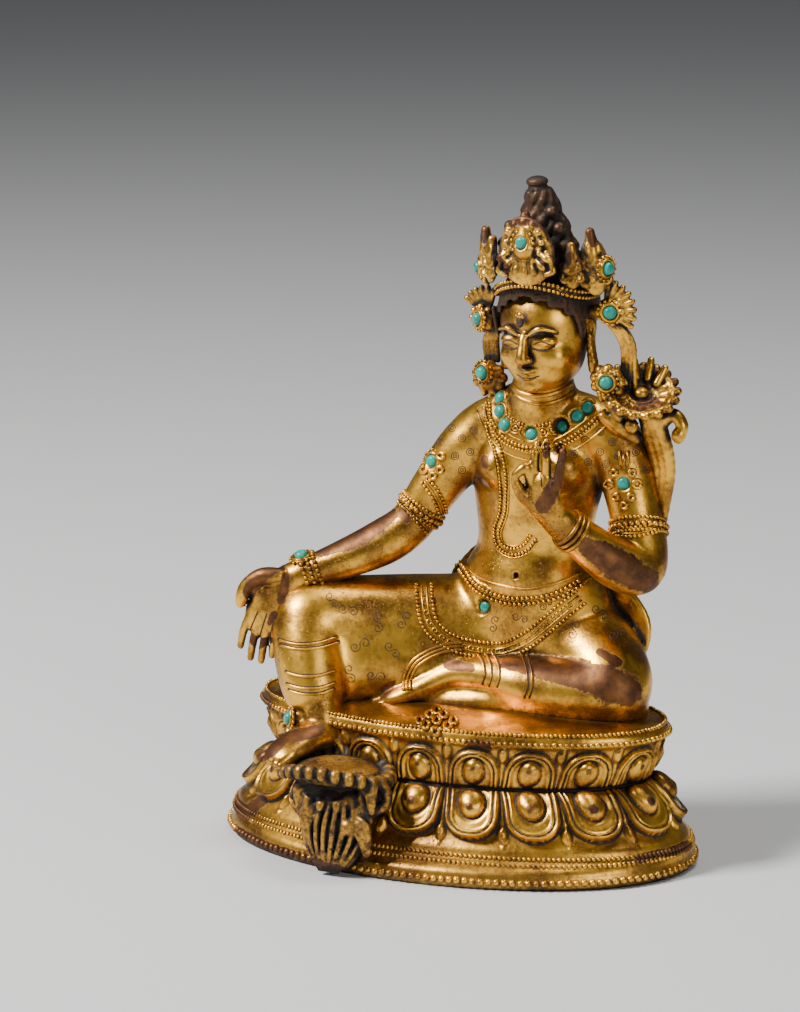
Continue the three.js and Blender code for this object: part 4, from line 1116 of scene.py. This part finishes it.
# each with its boss (middle, half width, half length, rise) and its rims (way in, width, rise)
PETAL_ROWS = [
    (LOWER_PETALS, (3.7, 2.9, 3.5, 1.7), [(0.75, 0.42, 0.5), (1.3, 0.22, -0.4), (1.75, 0.3, 0.3)]),
    (UPPER_PETALS, (3.6, 2.3, 2.9, 0.9),
     [(0.6, 0.3, 0.4), (1.05, 0.2, -0.4), (1.5, 0.26, 0.3), (2.2, 0.3, -0.25)]),
]


def depth_ratio(z):
    over_foot = smooth(z, FOOT_RIM_HEIGHT, MIDDLE_RIM_HEIGHT)
    share = np.clip((z - MIDDLE_RIM_HEIGHT) / (PLATE_HEIGHT - MIDDLE_RIM_HEIGHT), 0, 1)
    low = FOOT_DEPTH_RATIO + (RIM_DEPTH_RATIO - FOOT_DEPTH_RATIO) * over_foot
    return low + (PLATE_DEPTH_RATIO - RIM_DEPTH_RATIO) * share


def plate_shift(z):
    return PLATE_SHIFT * np.minimum(1, z / WAIST_HEIGHT)


def even_angles(half_width, ratio, count):
    """Angles that part an ellipse into stretches of equal length, the first at the front."""
    fine = np.linspace(0, 2 * np.pi, 1441) - np.pi / 2
    x, y = half_width * np.cos(fine), half_width * ratio * np.sin(fine)
    length = np.concatenate([[0], np.cumsum(np.hypot(np.diff(x), np.diff(y)))])
    return np.interp(np.arange(count) * length[-1] / count, length, fine)


def ridge(value, middle, width):
    return np.exp(-(((value - middle) / width) ** 2))


def petal_relief(across, along, length, petal, swelling, scrolls):
    """Height of a petal's carving: its rims, one inside the other, its boss and the knob on it."""
    _, _, half, out_root, out_tip = petal
    round_end = half * 0.95
    beyond = np.maximum(along - (length - round_end), 0) * half / round_end
    deep = half - np.hypot(across, beyond)
    body = smooth(deep, -0.25, 0.5)
    share = np.clip(along / length, 0, 1)
    height = body * (out_root + (out_tip - out_root) * share**1.3)
    for middle, width, rise in scrolls:
        height = height + body * rise * ridge(deep, middle, width)
    boss_middle, boss_half, boss_long, boss_rise = swelling
    from_boss = np.sqrt((across / boss_half) ** 2 + ((along - boss_middle) / boss_long) ** 2)
    height = height + boss_rise * np.sqrt(np.clip(1 - from_boss**2, 0, 1))
    height = height - 0.35 * body * ridge(from_boss, 1.1, 0.14)
    knob = ridge(np.hypot(across, along - boss_middle - boss_long * 0.4), 0, 0.95)
    return height + 0.3 * knob, knob


def softened(height, reach):
    """The same relief, smeared over a square of grid points."""
    total = np.zeros_like(height)
    for shift in range(-reach, reach + 1):
        total += np.roll(height, shift, 1)
    rows = np.pad(total, ((reach, reach), (0, 0)), mode="edge")
    count = len(height)
    return sum(rows[i : i + count] for i in range(2 * reach + 1)) / (2 * reach + 1) ** 2


def plinth_rows():
    """Half width, height and way run along the flank of each row of points, closest on the petals."""
    profile = spline(FLANK, 8)
    step = np.concatenate([[0], np.cumsum(np.hypot(np.diff(profile[:, 0]), np.diff(profile[:, 1])))])
    on_top = profile[:, 1] > PLATE_HEIGHT
    density = np.where(profile[:, 1] < CARVED_FROM, 0.62, 1.0)
    density = np.where(on_top & (profile[:, 0] > CUSHION_HALF_WIDTH), 0.9, density)
    density = np.where(on_top & (profile[:, 0] < CUSHION_HALF_WIDTH), 0.13, density)
    weight = np.concatenate([[0], np.cumsum(np.diff(step) * density[1:])])
    picks = np.linspace(0, weight[-1], PLINTH_ROWS)
    half, height, run = [np.interp(picks, weight, values) for values in (profile[:, 0], profile[:, 1], step)]
    return half, height, run


def make_plinth():
    rows, columns = PLINTH_ROWS, PETAL_COUNT * COLUMNS_PER_PETAL
    half, height, run = plinth_rows()
    base = even_angles(PITCH_HALF_WIDTH, PITCH_DEPTH_RATIO, PETAL_COUNT)
    phase = np.arange(columns) / columns * PETAL_COUNT
    angle = np.interp(phase, np.arange(PETAL_COUNT + 1), np.append(base, base[0] + 2 * np.pi))
    place = phase - np.round(phase)
    points = np.zeros((rows, columns, 3))
    points[..., 0] = plate_shift(height)[:, None] + half[:, None] * np.cos(angle)
    points[..., 1] = (half * depth_ratio(height))[:, None] * np.sin(angle)
    points[..., 2] = height[:, None]
    tangent_column = np.roll(points, -1, 1) - np.roll(points, 1, 1)
    normal = np.cross(tangent_column, np.gradient(points, axis=0))
    normal /= np.maximum(np.linalg.norm(normal, axis=2), 1e-9)[..., None]
    relief, knobs = np.zeros((2, rows, columns))
    on_flank = half > FLANK_HALF_WIDTH
    for petal, swelling, scrolls in PETAL_ROWS:
        root, tip = petal[:2]
        low, high = min(root, tip) - 1.2, max(root, tip) + 1.2
        inside = np.nonzero((height > low) & (height < high) & on_flank & (run < run[-1] * 0.55))[0]
        root_run, tip_run = np.interp([root, tip], height[inside], run[inside])
        along = np.abs(run[inside] - root_run) * np.sign((run[inside] - root_run) * (tip_run - root_run))
        length = abs(tip_run - root_run)
        # a petal keeps its width in millimetres, a little narrower towards the waist
        pitch = PETAL_PITCH * (half[inside] / PITCH_HALF_WIDTH)[:, None]
        carved, knob = petal_relief(place[None, :] * pitch, along[:, None], length, petal, swelling, scrolls)
        fade = smooth(along, -0.3, 0.5)[:, None]
        relief[inside] = np.maximum(relief[inside], carved * fade)
        knobs[inside] = np.maximum(knobs[inside], knob * fade)
        # small leaf points in the clefts
        between = (0.5 - np.abs(place))[None, :] * pitch
        leaf = smooth(1 - np.hypot(between / 1.3, (along[:, None] - length * 0.88) / 2.2), 0, 0.5)
        relief[inside] = np.maximum(relief[inside], 0.75 * leaf + 0.25 * ridge(between, 0, 0.3) * fade)
    # lines scored along the plate's rim
    for line in (42.9, 41.6):
        relief -= 0.2 * (ridge(half, line, 0.3) * (height > PLATE_HEIGHT))[:, None]
    points += normal * relief[..., None]
    flat = points.reshape(-1, 3)
    index = np.arange(rows * columns).reshape(rows, columns)
    following = np.roll(index, -1, 1)
    faces = np.stack([index[:-1], following[:-1], following[1:], index[1:]], -1).reshape(-1, 4)
    bottom = len(flat)
    flat = np.vstack([flat, [[0, 0, 0], [PLATE_SHIFT, 0, FLANK[-1][1]]]])
    ends = [[bottom, b, a] for a, b in zip(index[0], following[0])]
    ends += [[bottom + 1, a, b] for a, b in zip(index[-1], following[-1])]
    piece = make_mesh("lotus_plinth", flat, [*faces.tolist(), *ends], gilt)
    # how hollow the carving is, for grime and painted shade
    hollow = np.clip((softened(relief, 3) - relief) * 1.15 + (softened(relief, 1) - relief) * 3, 0, 1)
    # painted shade: darker bands in the groove at the waist, under the cushion's rim and above the lowest
    # beads; the foot below 8 mm is a little darker, and the top slightly
    deep = 0.75 * ridge(height, 18.5, 0.7) + 0.35 * ridge(height, 27.3, 0.8) + 0.4 * ridge(height, 3.1, 0.5)
    deep = deep * on_flank + 0.22 * (height < 8) + 0.05 * (height > 30.1)
    hollow = np.clip(hollow + deep[:, None], 0, 1)
    attribute(piece, "hollow", np.append(hollow.ravel(), [0, 0]))
    worn = 0.75 * knobs + np.clip(relief / 4 - 0.45, 0, 0.2)
    worn = np.maximum(np.append(worn.ravel(), [0, 0]), 0.8 * worn_at(to_pose(flat)))
    attribute(piece, "worn", worn)
    return piece


# Ornaments that follow the skin

skins = []
# how far rays reach, the clear room round stones, and the step at which a line has left one part for another
RAY_REACH = 2000.0
BEAD_GAP, CORD_GAP = 0.45, 0.4
LEAP = 4
# points in one turn of a curl, and how many must meet the figure
STEPS_PER_TURN, LEAST_HITS = 14, 13


def strike(origin, way, reach=RAY_REACH):
    """Where a ray first meets the skins, and the normal there, in millimetres."""
    hits = [tree.ray_cast(Vector(origin) * MM, Vector(way).normalized(), reach * MM) for tree in skins]
    hits = [hit for hit in hits if hit[0] is not None]
    if not hits:
        return None
    place, normal, _, _ = min(hits, key=lambda hit: hit[3])
    return np.array(place) / MM, np.array(normal)


def struck(pixels):
    """The skin under the photograph's pixels: rows of place and normal."""
    hits = [strike(EYE, pixel_way(px, py)) for px, py in pixels]
    return [hit for hit in hits if hit]


def seen(pixels, per=6):
    """The same under a smooth line through pixels."""
    return struck(spline(pixels, per))


def ring_hits(centre, way, steps=40, reach=14):
    """The skin all round a limb, met by rays from a point of the pose, square to a direction."""
    centre = to_row(centre)[0]
    way = Vector(way).normalized()
    side = way.orthogonal().normalized()
    other = way.cross(side)
    hits = []
    for step in range(steps):
        angle = step * 2 * math.pi / steps
        out = side * math.cos(angle) + other * math.sin(angle)
        hit = strike(centre, out, reach)
        if hit:
            hits.append((hit[0], np.array(out)))
    return hits


def ball_template():
    shape = bmesh.new()
    bmesh.ops.create_icosphere(shape, subdivisions=2, radius=1)
    points = np.array([v.co for v in shape.verts])
    faces = np.array([[v.index for v in f.verts] for f in shape.faces])
    shape.free()
    return points, faces


BALL_POINTS, BALL_FACES = ball_template()


def from_stones(place):
    """How far a place is from the nearest stone's axis."""
    best = 99.0
    for foot, out in SEATS.values():
        along = min(max(float((place - foot) @ out), 0.0), 3.0)
        best = min(best, float(np.linalg.norm(place - foot - out * along)))
    return best


class Cluster:
    """Many small shapes that become one piece."""

    def __init__(self):
        self.points, self.faces, self.count = [], [], 0

    def take(self, points, faces):
        self.points.append(points)
        self.faces.append(faces + self.count)
        self.count += len(points)

    def ball(self, centre, radius, stretch=(1, 1, 1)):
        self.take(BALL_POINTS * np.array(stretch) * radius + centre, BALL_FACES)

    def tube(self, centres, radius, sides=6, closed=False):
        centres = np.array(centres)
        count = len(centres)
        if count < 3:
            return
        if closed:
            tangents = np.roll(centres, -1, 0) - np.roll(centres, 1, 0)
        else:
            tangents = np.gradient(centres, axis=0)
        tangents /= np.maximum(np.linalg.norm(tangents, axis=1), 1e-9)[:, None]
        side = np.cross(tangents[0], [0.3, 0.9, 0.2])
        angles = np.arange(sides)[:, None] * 2 * np.pi / sides
        rings = []
        for i in range(count):
            side = side - tangents[i] * (side @ tangents[i])
            side /= max(np.linalg.norm(side), 1e-9)
            other = np.cross(tangents[i], side)
            rings.append(centres[i] + radius * (np.cos(angles) * side + np.sin(angles) * other))
        points = np.concatenate(rings)
        index = np.arange(count * sides).reshape(count, sides)
        after = np.roll(index, -1, 0) if closed else index[1:]
        before = index if closed else index[:-1]
        quads = np.stack([before, np.roll(before, -1, 1), np.roll(after, -1, 1), after], -1).reshape(-1, 4)
        faces = np.concatenate([quads[:, [0, 1, 2]], quads[:, [0, 2, 3]]])
        if not closed:
            points = np.vstack([points, centres[0], centres[-1]])
            first, last = count * sides, count * sides + 1
            caps = [[first, (i + 1) % sides, i] for i in range(sides)]
            start = (count - 1) * sides
            caps += [[last, start + i, start + (i + 1) % sides] for i in range(sides)]
            faces = np.vstack([faces, caps])
        self.take(points, faces)

    def beads_along(self, hits, radius, spacing=2.05, lift=0.5, closed=False):
        if len(hits) < 2:
            return
        centres = np.array([place + normal * radius * lift for place, normal in hits])
        if closed:
            centres = np.vstack([centres, centres[:1]])
        length = np.concatenate([[0], np.cumsum(np.linalg.norm(np.diff(centres, axis=0), axis=1))])
        count = max(2, int(length[-1] / (radius * spacing)))
        for at in np.linspace(0, length[-1], count, endpoint=not closed):
            place = np.array([np.interp(at, length, centres[:, i]) for i in range(3)])
            if from_stones(place) > STONE_RADIUS + BEAD_GAP:
                self.ball(place, radius)

    def cord_along(self, hits, radius, lift=0.4, closed=False):
        """A cord on the skin, broken at stones and where its line leaps to another part of the figure."""
        runs = [[]]
        for place, normal in hits:
            clear = closed or from_stones(place) >= STONE_RADIUS + CORD_GAP
            leaps = bool(runs[-1]) and not closed and np.linalg.norm(place - runs[-1][-1][0]) > LEAP
            if leaps or not clear:
                runs.append([])
            if clear:
                runs[-1].append((place, normal))
        for run in runs:
            self.tube([place + normal * radius * lift for place, normal in run], radius, closed=closed)

    def curl_px(self, px, py, size, radius, lift=0.4, **options):
        """A ring or scroll laid as the photograph has it, unless part of it misses the figure."""
        hits = struck(circle_px(px, py, size, **options))
        if len(hits) >= LEAST_HITS:
            self.cord_along(hits, radius, lift)

    def rails(self, hits, shifts, radius, lift=0.4):
        """Cords at these distances beside a line."""
        for shift in shifts:
            self.cord_along(shifted(hits, shift), radius, lift)

    def piece(self, name, material):
        made = make_mesh(name, np.concatenate(self.points), np.concatenate(self.faces), material)
        attribute(made, "hollow", np.zeros(self.count))
        attribute(made, "worn", worn_at(to_pose(np.concatenate(self.points))) * 0.8)
        return made


def shifted(hits, shift):
    """The same line moved sideways over the skin."""
    places = np.array([place for place, _ in hits])
    normals = np.array([normal for _, normal in hits])
    tangents = np.gradient(places, axis=0)
    sideways = np.cross(normals, tangents)
    sideways /= np.maximum(np.linalg.norm(sideways, axis=1), 1e-9)[:, None]
    return [(place, normal) for place, normal in zip(places + sideways * shift, normals)]


# Lines of the photograph, in its pixels
COLLAR_INNER_PX = [(497, 394), (503, 410), (515, 421), (533, 426), (552, 422), (572, 411), (588, 400)]
COLLAR_OUTER_PX = [(487, 404), (493, 422), (508, 440), (532, 448), (558, 444), (583, 429), (604, 411)]
COLLAR_EDGE_PX = [(484, 406), (490, 425), (506, 444), (532, 452), (560, 448), (586, 432), (607, 413)]
STRAND_PX = [
    (488, 405), (490, 430), (498, 450), (503, 480), (503, 510), (497, 530), (500, 545), (512, 552),
    (525, 548), (533, 538),
]
GIRDLE_PX = [(458, 562), (466, 574), (478, 589), (503, 600), (530, 601), (556, 596), (580, 584)]
CLOTH_EDGE_PX = [(466, 566), (478, 577), (500, 585), (528, 589), (556, 583), (580, 573)]
HIP_BAND_PX = [
    (424, 585), (425, 602), (429, 622), (442, 637), (458, 645), (471, 648), (490, 651), (506, 650),
    (528, 640), (546, 626), (560, 614), (580, 598),
]
ANKLE_CORD_PX = [(462, 646), (446, 648), (430, 654), (416, 663), (408, 676), (407, 690)]
ARM_BANDS_PX = [
    [(393, 493), (404, 502), (418, 517), (430, 530)],
    [(425, 480), (434, 492), (440, 504), (443, 515)],
    [(604, 528), (618, 531), (631, 532), (646, 530), (660, 526)],
]
# hems of the skirt on the shin and at the knee
HEMS_PX = [
    [(478, 654), (483, 664), (484, 674), (481, 684)],
    [(485, 653), (490, 664), (491, 675), (488, 686)],
    [(492, 653), (498, 665), (499, 676), (496, 687)],
    [(521, 654), (526, 668), (527, 683), (523, 698)],
    [(526, 654), (531, 668), (532, 683), (528, 698)],
    [(278, 640), (296, 644), (318, 643), (338, 637)],
    [(279, 645), (297, 649), (319, 648), (340, 642)],
    [(285, 672), (300, 676), (318, 676), (336, 671)],
    [(286, 684), (301, 688), (319, 688), (336, 683)],
    [(288, 690), (302, 694), (319, 694), (335, 689)],
]
NECK_FOLDS_PX = [
    [(511, 386), (522, 393), (540, 396), (558, 392), (571, 384)],
    [(513, 394), (526, 401), (543, 404), (560, 400), (574, 392)],
]
# ring curls beside the stones of the armlets: pixel x, y, and radius
ARMLET_CURLS_PX = [
    (609, 484, 5), (637, 484, 5), (614, 473, 4), (632, 473, 4), (616, 497, 4), (631, 497, 4), (624, 506, 4),
    (420, 455, 4), (424, 470, 4), (440, 470, 4), (441, 456, 4), (431, 448, 4), (416, 463, 3), (433, 476, 4),
]
# the top of the left armlet's crest
CREST_PX = (624, 461)
# ring rosettes chased into the shoulders and the upper arms
ROSETTES_PX = [
    (452, 428), (440, 442), (462, 438), (470, 452), (455, 456), (474, 430), (462, 470), (585, 440),
    (600, 432), (612, 442), (600, 452), (588, 462), (618, 456), (574, 454), (636, 452), (646, 470),
    (606, 464), (630, 440), (478, 478), (560, 462),
]
HEM_SCROLLS_PX = [
    (437, 722), (430, 716), (444, 716), (426, 726), (448, 727), (437, 712), (436, 732), (420, 722),
    (454, 722),
]
# where scrolls are chased across the skirt: pixel x, y, size and turn
SKIRT_SCROLLS_PX = [
    (348, 610, 9, 0.3), (378, 622, 9, 1.6), (360, 645, 9, 2.8), (392, 650, 8, 0.9), (404, 620, 8, 2.2),
    (332, 600, 7, 1.0), (520, 618, 7, 0.4), (494, 624, 7, 1.9), (546, 605, 6, 2.6), (376, 676, 8, 0.2),
    (350, 674, 8, 1.4), (600, 612, 8, 0.7), (574, 630, 8, 2.0), (618, 634, 8, 2.9),
]
# lines of the face, in x and z of the head's frame, with the thickness and the lift of each
EYE_LINES = [
    ([(1.3, 2.5), (2.7, 3.4), (4.2, 3.75), (6.6, 2.85)], 0.3, 0.5),
    ([(1.7, 0.1), (3, -0.3), (4.4, -0.3), (6, 0.3)], 0.2, 0.1),
    ([(1.9, 0.8), (3.4, 1.5), (4.8, 1.4), (6.1, 0.6)], 0.13, 0.1),
    ([(3.3, -0.25), (3.9, -0.3), (4.5, -0.25)], 0.28, 0.0),
]
MOUTH_LINE = [(-2.6, -5.7), (-1.2, -6.05), (0, -5.9), (1.2, -6.05), (2.6, -5.7)]
BROW_MARK = (0, 6)
# rows of beads round the limbs: their middles in the pose, the way the limb runs there, and the beads' radii
BANGLES = [
    ([[-10.6, 4.2, 42.6], [-11.2, 4, 41.5], [-11.8, 3.8, 40.4]], [-0.5, -0.25, -0.82], (0.42, 0.62, 0.42)),
    ([[36.5, 6.7, 43.2], [36.9, 6.3, 42], [37.3, 5.9, 40.8]], [0.18, -0.35, -0.9], (0.42, 0.62, 0.42)),
    ([[-30.8, -6.4, 29.2], [-32, -7, 28.7], [-33.2, -7.6, 28.1]], [-0.86, -0.42, -0.34], (0.5, 0.5, 0.5)),
]
LEFT_WRIST, LEFT_WRIST_WAY = np.array([28.4, -7.6, 43.2]), np.array([-0.56, -0.55, 0.62])


def circle_px(px, py, radius, turns=1.0, start=0.0, shrink=0.0):
    """A ring or, when it shrinks, a scroll on the photograph."""
    steps = int(STEPS_PER_TURN * turns)
    line = []
    for step in range(steps + 1):
        share = step / steps
        angle = start + share * turns * 2 * math.pi
        reach = radius * (1 - shrink * share)
        line.append((px + reach * math.cos(angle), py + reach * math.sin(angle)))
    return line


def on_head(points):
    """The skin in front of places x, z of the head's frame."""
    backward = HEAD_TURN @ np.array([0, 1, 0])
    hits = [strike(to_row(in_head([x, -40, z]))[0], backward) for x, z in points]
    return [hit for hit in hits if hit]


def engraving():
    """Lines chased into the skin, dark with old grime, and painted shade between the fingers."""
    scored_and_shaded = Cluster()
    for px, py in ROSETTES_PX:
        for size in (3.6, 1.5):
            scored_and_shaded.curl_px(px, py, size, 0.09, lift=0.0)
    for px, py, size, turn in SKIRT_SCROLLS_PX:
        for way in (turn, turn + math.pi):
            reach = size * 0.62
            x, y = px + reach * math.cos(way), py + reach * math.sin(way)
            scored_and_shaded.curl_px(x, y, reach, 0.1, lift=0.0, turns=1.25, start=way + math.pi, shrink=0.75)
    for line in HEMS_PX:
        scored_and_shaded.rails(seen(line), [0.38], 0.13, lift=0.1)
    scored_and_shaded.cord_along(seen(CLOTH_EDGE_PX), 0.16, lift=0.1)
    # painted shade: dark cords in the grooves between the fingers
    for fingers in (RIGHT_FINGERS, LEFT_FINGERS):
        for first, second in zip(fingers[:-1], fingers[1:]):
            groove = to_row(spline((np.array(first) + np.array(second)) / 2, 8))
            hits = struck(on_picture(groove))
            near = [hit for hit in hits if np.linalg.norm(groove - hit[0], axis=1).min() < 2.2]
            scored_and_shaded.cord_along(near, 0.15, lift=0.3)
    # brows, lids, pupils and mouth
    for side in SIDES:
        for line, radius, lift in EYE_LINES:
            scored_and_shaded.cord_along(on_head(spline(on_side(side, line), 6)), radius, lift)
    scored_and_shaded.cord_along(on_head(spline(MOUTH_LINE, 6)), 0.15, lift=0.1)
    for place, _ in on_head([BROW_MARK]):
        scored_and_shaded.ball(place, 1.15, (0.75, 0.5, 1.2))
    scored_and_shaded.piece("engraved_lines_and_finger_shade", lines)


def necklace_rings(metal):
    """Ring pendants between the stones of the necklace, one in a wide gap and two in the widest."""
    wide, widest = 3.8, 6
    for number in range(1, 7):
        first, second = SEATS[f"necklace_{number}"][0], SEATS[f"necklace_{number + 1}"][0]
        gap = np.linalg.norm(second - first)
        shares = (0.34, 0.66) if gap > widest else (0.5,) if gap > wide else ()
        for share in shares:
            px, py = on_picture(first + (second - first) * share)[0]
            for size in (5, 2.2):
                metal.curl_px(px, py, size, 0.26)


def bead_rows(metal, hits, shifts, radius):
    """Rows of beads at these distances beside a line."""
    for shift in shifts:
        metal.beads_along(shifted(hits, shift), radius)


def band(metal, pixels, half_width, bead):
    """A flat decorated band: beads along both edges and two cords between them."""
    hits = seen(pixels)
    bead_rows(metal, hits, (-half_width, half_width), bead)
    metal.rails(hits, (-half_width / 3, half_width / 3), 0.22, lift=0.3)


def jewellery():
    metal = Cluster()
    for step in range(41):
        for lift in (-0.62, 0.62):
            metal.ball(to_row(in_head(band_point(math.radians(-96 + step * 4.8), lift, 0.05)))[0], 0.43)
    for pixels, radius in ((COLLAR_INNER_PX, 0.36), (COLLAR_OUTER_PX, 0.42), (COLLAR_EDGE_PX, 0.36)):
        metal.beads_along(seen(pixels), radius)
    for line in NECK_FOLDS_PX:
        metal.cord_along(seen(line), 0.55, lift=-0.25)
    metal.rails(seen(COLLAR_OUTER_PX), (1.1, -1.1, 2.6, -2.6), 0.2, lift=0.3)
    necklace_rings(metal)
    strand = seen(STRAND_PX)
    bead_rows(metal, strand, (-0.62, 0.62), 0.38)
    metal.rails(strand, (-1.2, 1.2), 0.2)
    bead_rows(metal, seen(GIRDLE_PX), (-0.6, 0.6), 0.5)
    metal.cord_along(seen(CLOTH_EDGE_PX), 0.36, lift=0.2)
    band(metal, HIP_BAND_PX, 1.6, 0.44)
    for px, py in spline(HIP_BAND_PX, 2)[1:-1]:
        metal.curl_px(px, py, 2.4, 0.18)
    for line in HEMS_PX:
        metal.cord_along(seen(line), 0.3, lift=0.1)
    metal.rails(seen(ANKLE_CORD_PX), (-0.75, 0, 0.75), 0.4)
    for pixels in ARM_BANDS_PX:
        band(metal, pixels, 0.9, 0.42)
    for px, py, size in ARMLET_CURLS_PX:
        metal.curl_px(px, py, size * 0.8, 0.42)
    crest_x, crest_y = CREST_PX
    for aside in (-4, 0, 4):
        px, py = crest_x + aside, crest_y - 0.75 * abs(aside)
        metal.cord_along(struck([(px, py - 7), (px, py), (px - aside * 0.4, py + 8)]), 0.5)
    for px, py in HEM_SCROLLS_PX:
        metal.curl_px(px, py, 3.6, 0.42, lift=0.8)
    for centres, way, radii in BANGLES:
        for centre, radius in zip(centres, radii):
            metal.beads_along(ring_hits(centre, way), radius, closed=True)
    for at in (0, 1.1, 2.2):
        metal.cord_along(ring_hits(LEFT_WRIST + LEFT_WRIST_WAY * at, LEFT_WRIST_WAY), 0.5, closed=True)
    metal.piece("necklaces_girdles_and_bangles", gilt)


def oval(half_width, height, count):
    """Places spread evenly round the plinth at this half width and height."""
    ratio = float(depth_ratio(height))
    angles = even_angles(half_width, ratio, count)
    x = plate_shift(height) + half_width * np.cos(angles)
    return np.stack([x, half_width * ratio * np.sin(angles), np.full(count, height)], 1)


def plinth_beads():
    """The rows of beads round the plinth, and the twisted cords of the middle rim."""
    rows = Cluster()
    for half_width, height, radius in ((52.0, 1.7, 0.82), (45.8, 28.5, 0.62), (44.8, 30.45, 0.46)):
        # about the oval's girth, and beads that just clear each other
        around = math.pi * half_width * (1 + depth_ratio(height)) * 1.03
        for place in oval(half_width, height, int(around / (radius * 2.02))):
            grow = radius * random.uniform(0.85, 1.08)
            rows.ball(place + [0, 0, random.uniform(-0.08, 0.08)], grow)
    for half_width, height in ((51.2, 5.75), (51.5, 4.7)):
        for place in oval(half_width, height, 250):
            rows.ball(place, 0.48, (1, 1, 1.25))
    rows.piece("plinth_beading", bead_metal)


# Stones, each a smooth cabochon in a ring of metal, and all but the necklace's stones in a ring of beads

STONE_SIDES, STONE_LEVELS = 28, 10


def all_round(out, count):
    """Ways square to a stone's axis."""
    side = np.cross(out, [0.2, 0.3, 0.93])
    side /= np.linalg.norm(side)
    turns = np.arange(count)[:, None] * 2 * np.pi / count
    return np.cos(turns) * side + np.sin(turns) * np.cross(out, side)


def stone_faces():
    """A fan for the flat back, bands of four-cornered faces, and a fan for the top."""
    pairs = [(i, (i + 1) % STONE_SIDES) for i in range(STONE_SIDES)]
    starts = [1 + level * STONE_SIDES for level in range(STONE_LEVELS)]
    faces = [[0, 1 + j, 1 + i] for i, j in pairs]
    for a, b in zip(starts[:-1], starts[1:]):
        faces += [[a + i, a + j, b + j, b + i] for i, j in pairs]
    last = starts[-1]
    return faces + [[last + STONE_SIDES, last + i, last + j] for i, j in pairs]


def make_stones(rims):
    swing = np.linspace(0, np.pi / 2, STONE_LEVELS)
    levels = [(STONE_RADIUS * math.cos(t * 0.96) ** 0.55, STONE_HEIGHT * math.sin(t)) for t in swing]
    faces = stone_faces()
    for name, (foot, out) in SEATS.items():
        around = all_round(out, STONE_SIDES)
        body = [foot + out * rise + reach * around for reach, rise in levels]
        points = np.vstack([foot, *body, foot + out * STONE_HEIGHT])
        stone = make_mesh("cabochon_" + name, points, faces, turquoise)
        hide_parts("turquoise_" + name)
        rim = all_round(out, 30)
        for rise, stand, radius in ((0.62, 0.28, 0.34), (0.2, 0.42, 0.42)):
            rims.tube(foot + out * rise + rim * (STONE_RADIUS + stand), radius, closed=True)
        if "necklace" not in name:
            for way in rim[::2]:
                rims.ball(foot + out * 0.3 + way * (STONE_RADIUS + 1.0), 0.36)


make_camera()
upper = make_upper()
lower = make_lower()
head = make_head()
hair, regalia = make_hair_and_crown()
plinth = make_plinth()
lotus_at_shoulder = shoulder_lotus()
lotus_at_foot = foot_lotus()
for piece in (upper, lower, head, hair, regalia, plinth, lotus_at_shoulder, lotus_at_foot):
    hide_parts(CASTING)
graph = bpy.context.evaluated_depsgraph_get()
for skin in (upper, lower, head, plinth):
    skins.append(BVHTree.FromObject(skin, graph))
jewellery()
engraving()
plinth_beads()
stone_rims = Cluster()
make_stones(stone_rims)
stone_rims.piece("stone_settings", gilt)


def floor_and_light():
    mesh = bpy.data.meshes.new("floor")
    half = 3.0
    corners = [(-half, -half, 0), (half, -half, 0), (half, half, 0), (-half, half, 0)]
    mesh.from_pydata(corners, [], [(0, 1, 2, 3)])
    floor = bpy.data.objects.new("floor", mesh)
    bpy.context.collection.objects.link(floor)
    mesh.materials.append(Shader("floor").finish(Base_Color=(0.62, 0.62, 0.61, 1), Roughness=0.7))
    world = bpy.data.worlds.new("world")
    world.use_nodes = True
    sky = world.node_tree.nodes["Background"].inputs
    sky[0].default_value = (0.8, 0.82, 0.88, 1)
    sky[1].default_value = 0.12
    bpy.context.scene.world = world
    for name, place, size, power in (
        ("key", (-0.55, -0.5, 0.8), 0.26, 21),
        ("fill", (0.8, -0.6, 0.4), 0.4, 3),
        ("top", (0.15, 0.1, 0.9), 0.3, 4),
    ):
        light = bpy.data.lights.new(name, "AREA")
        light.size = size
        light.energy = power
        lamp = bpy.data.objects.new(name, light)
        bpy.context.collection.objects.link(lamp)
        lamp.location = place
        lamp.rotation_mode = "QUATERNION"
        lamp.rotation_quaternion = (TARGET * MM - Vector(place)).to_track_quat("-Z", "Y")


floor_and_light()
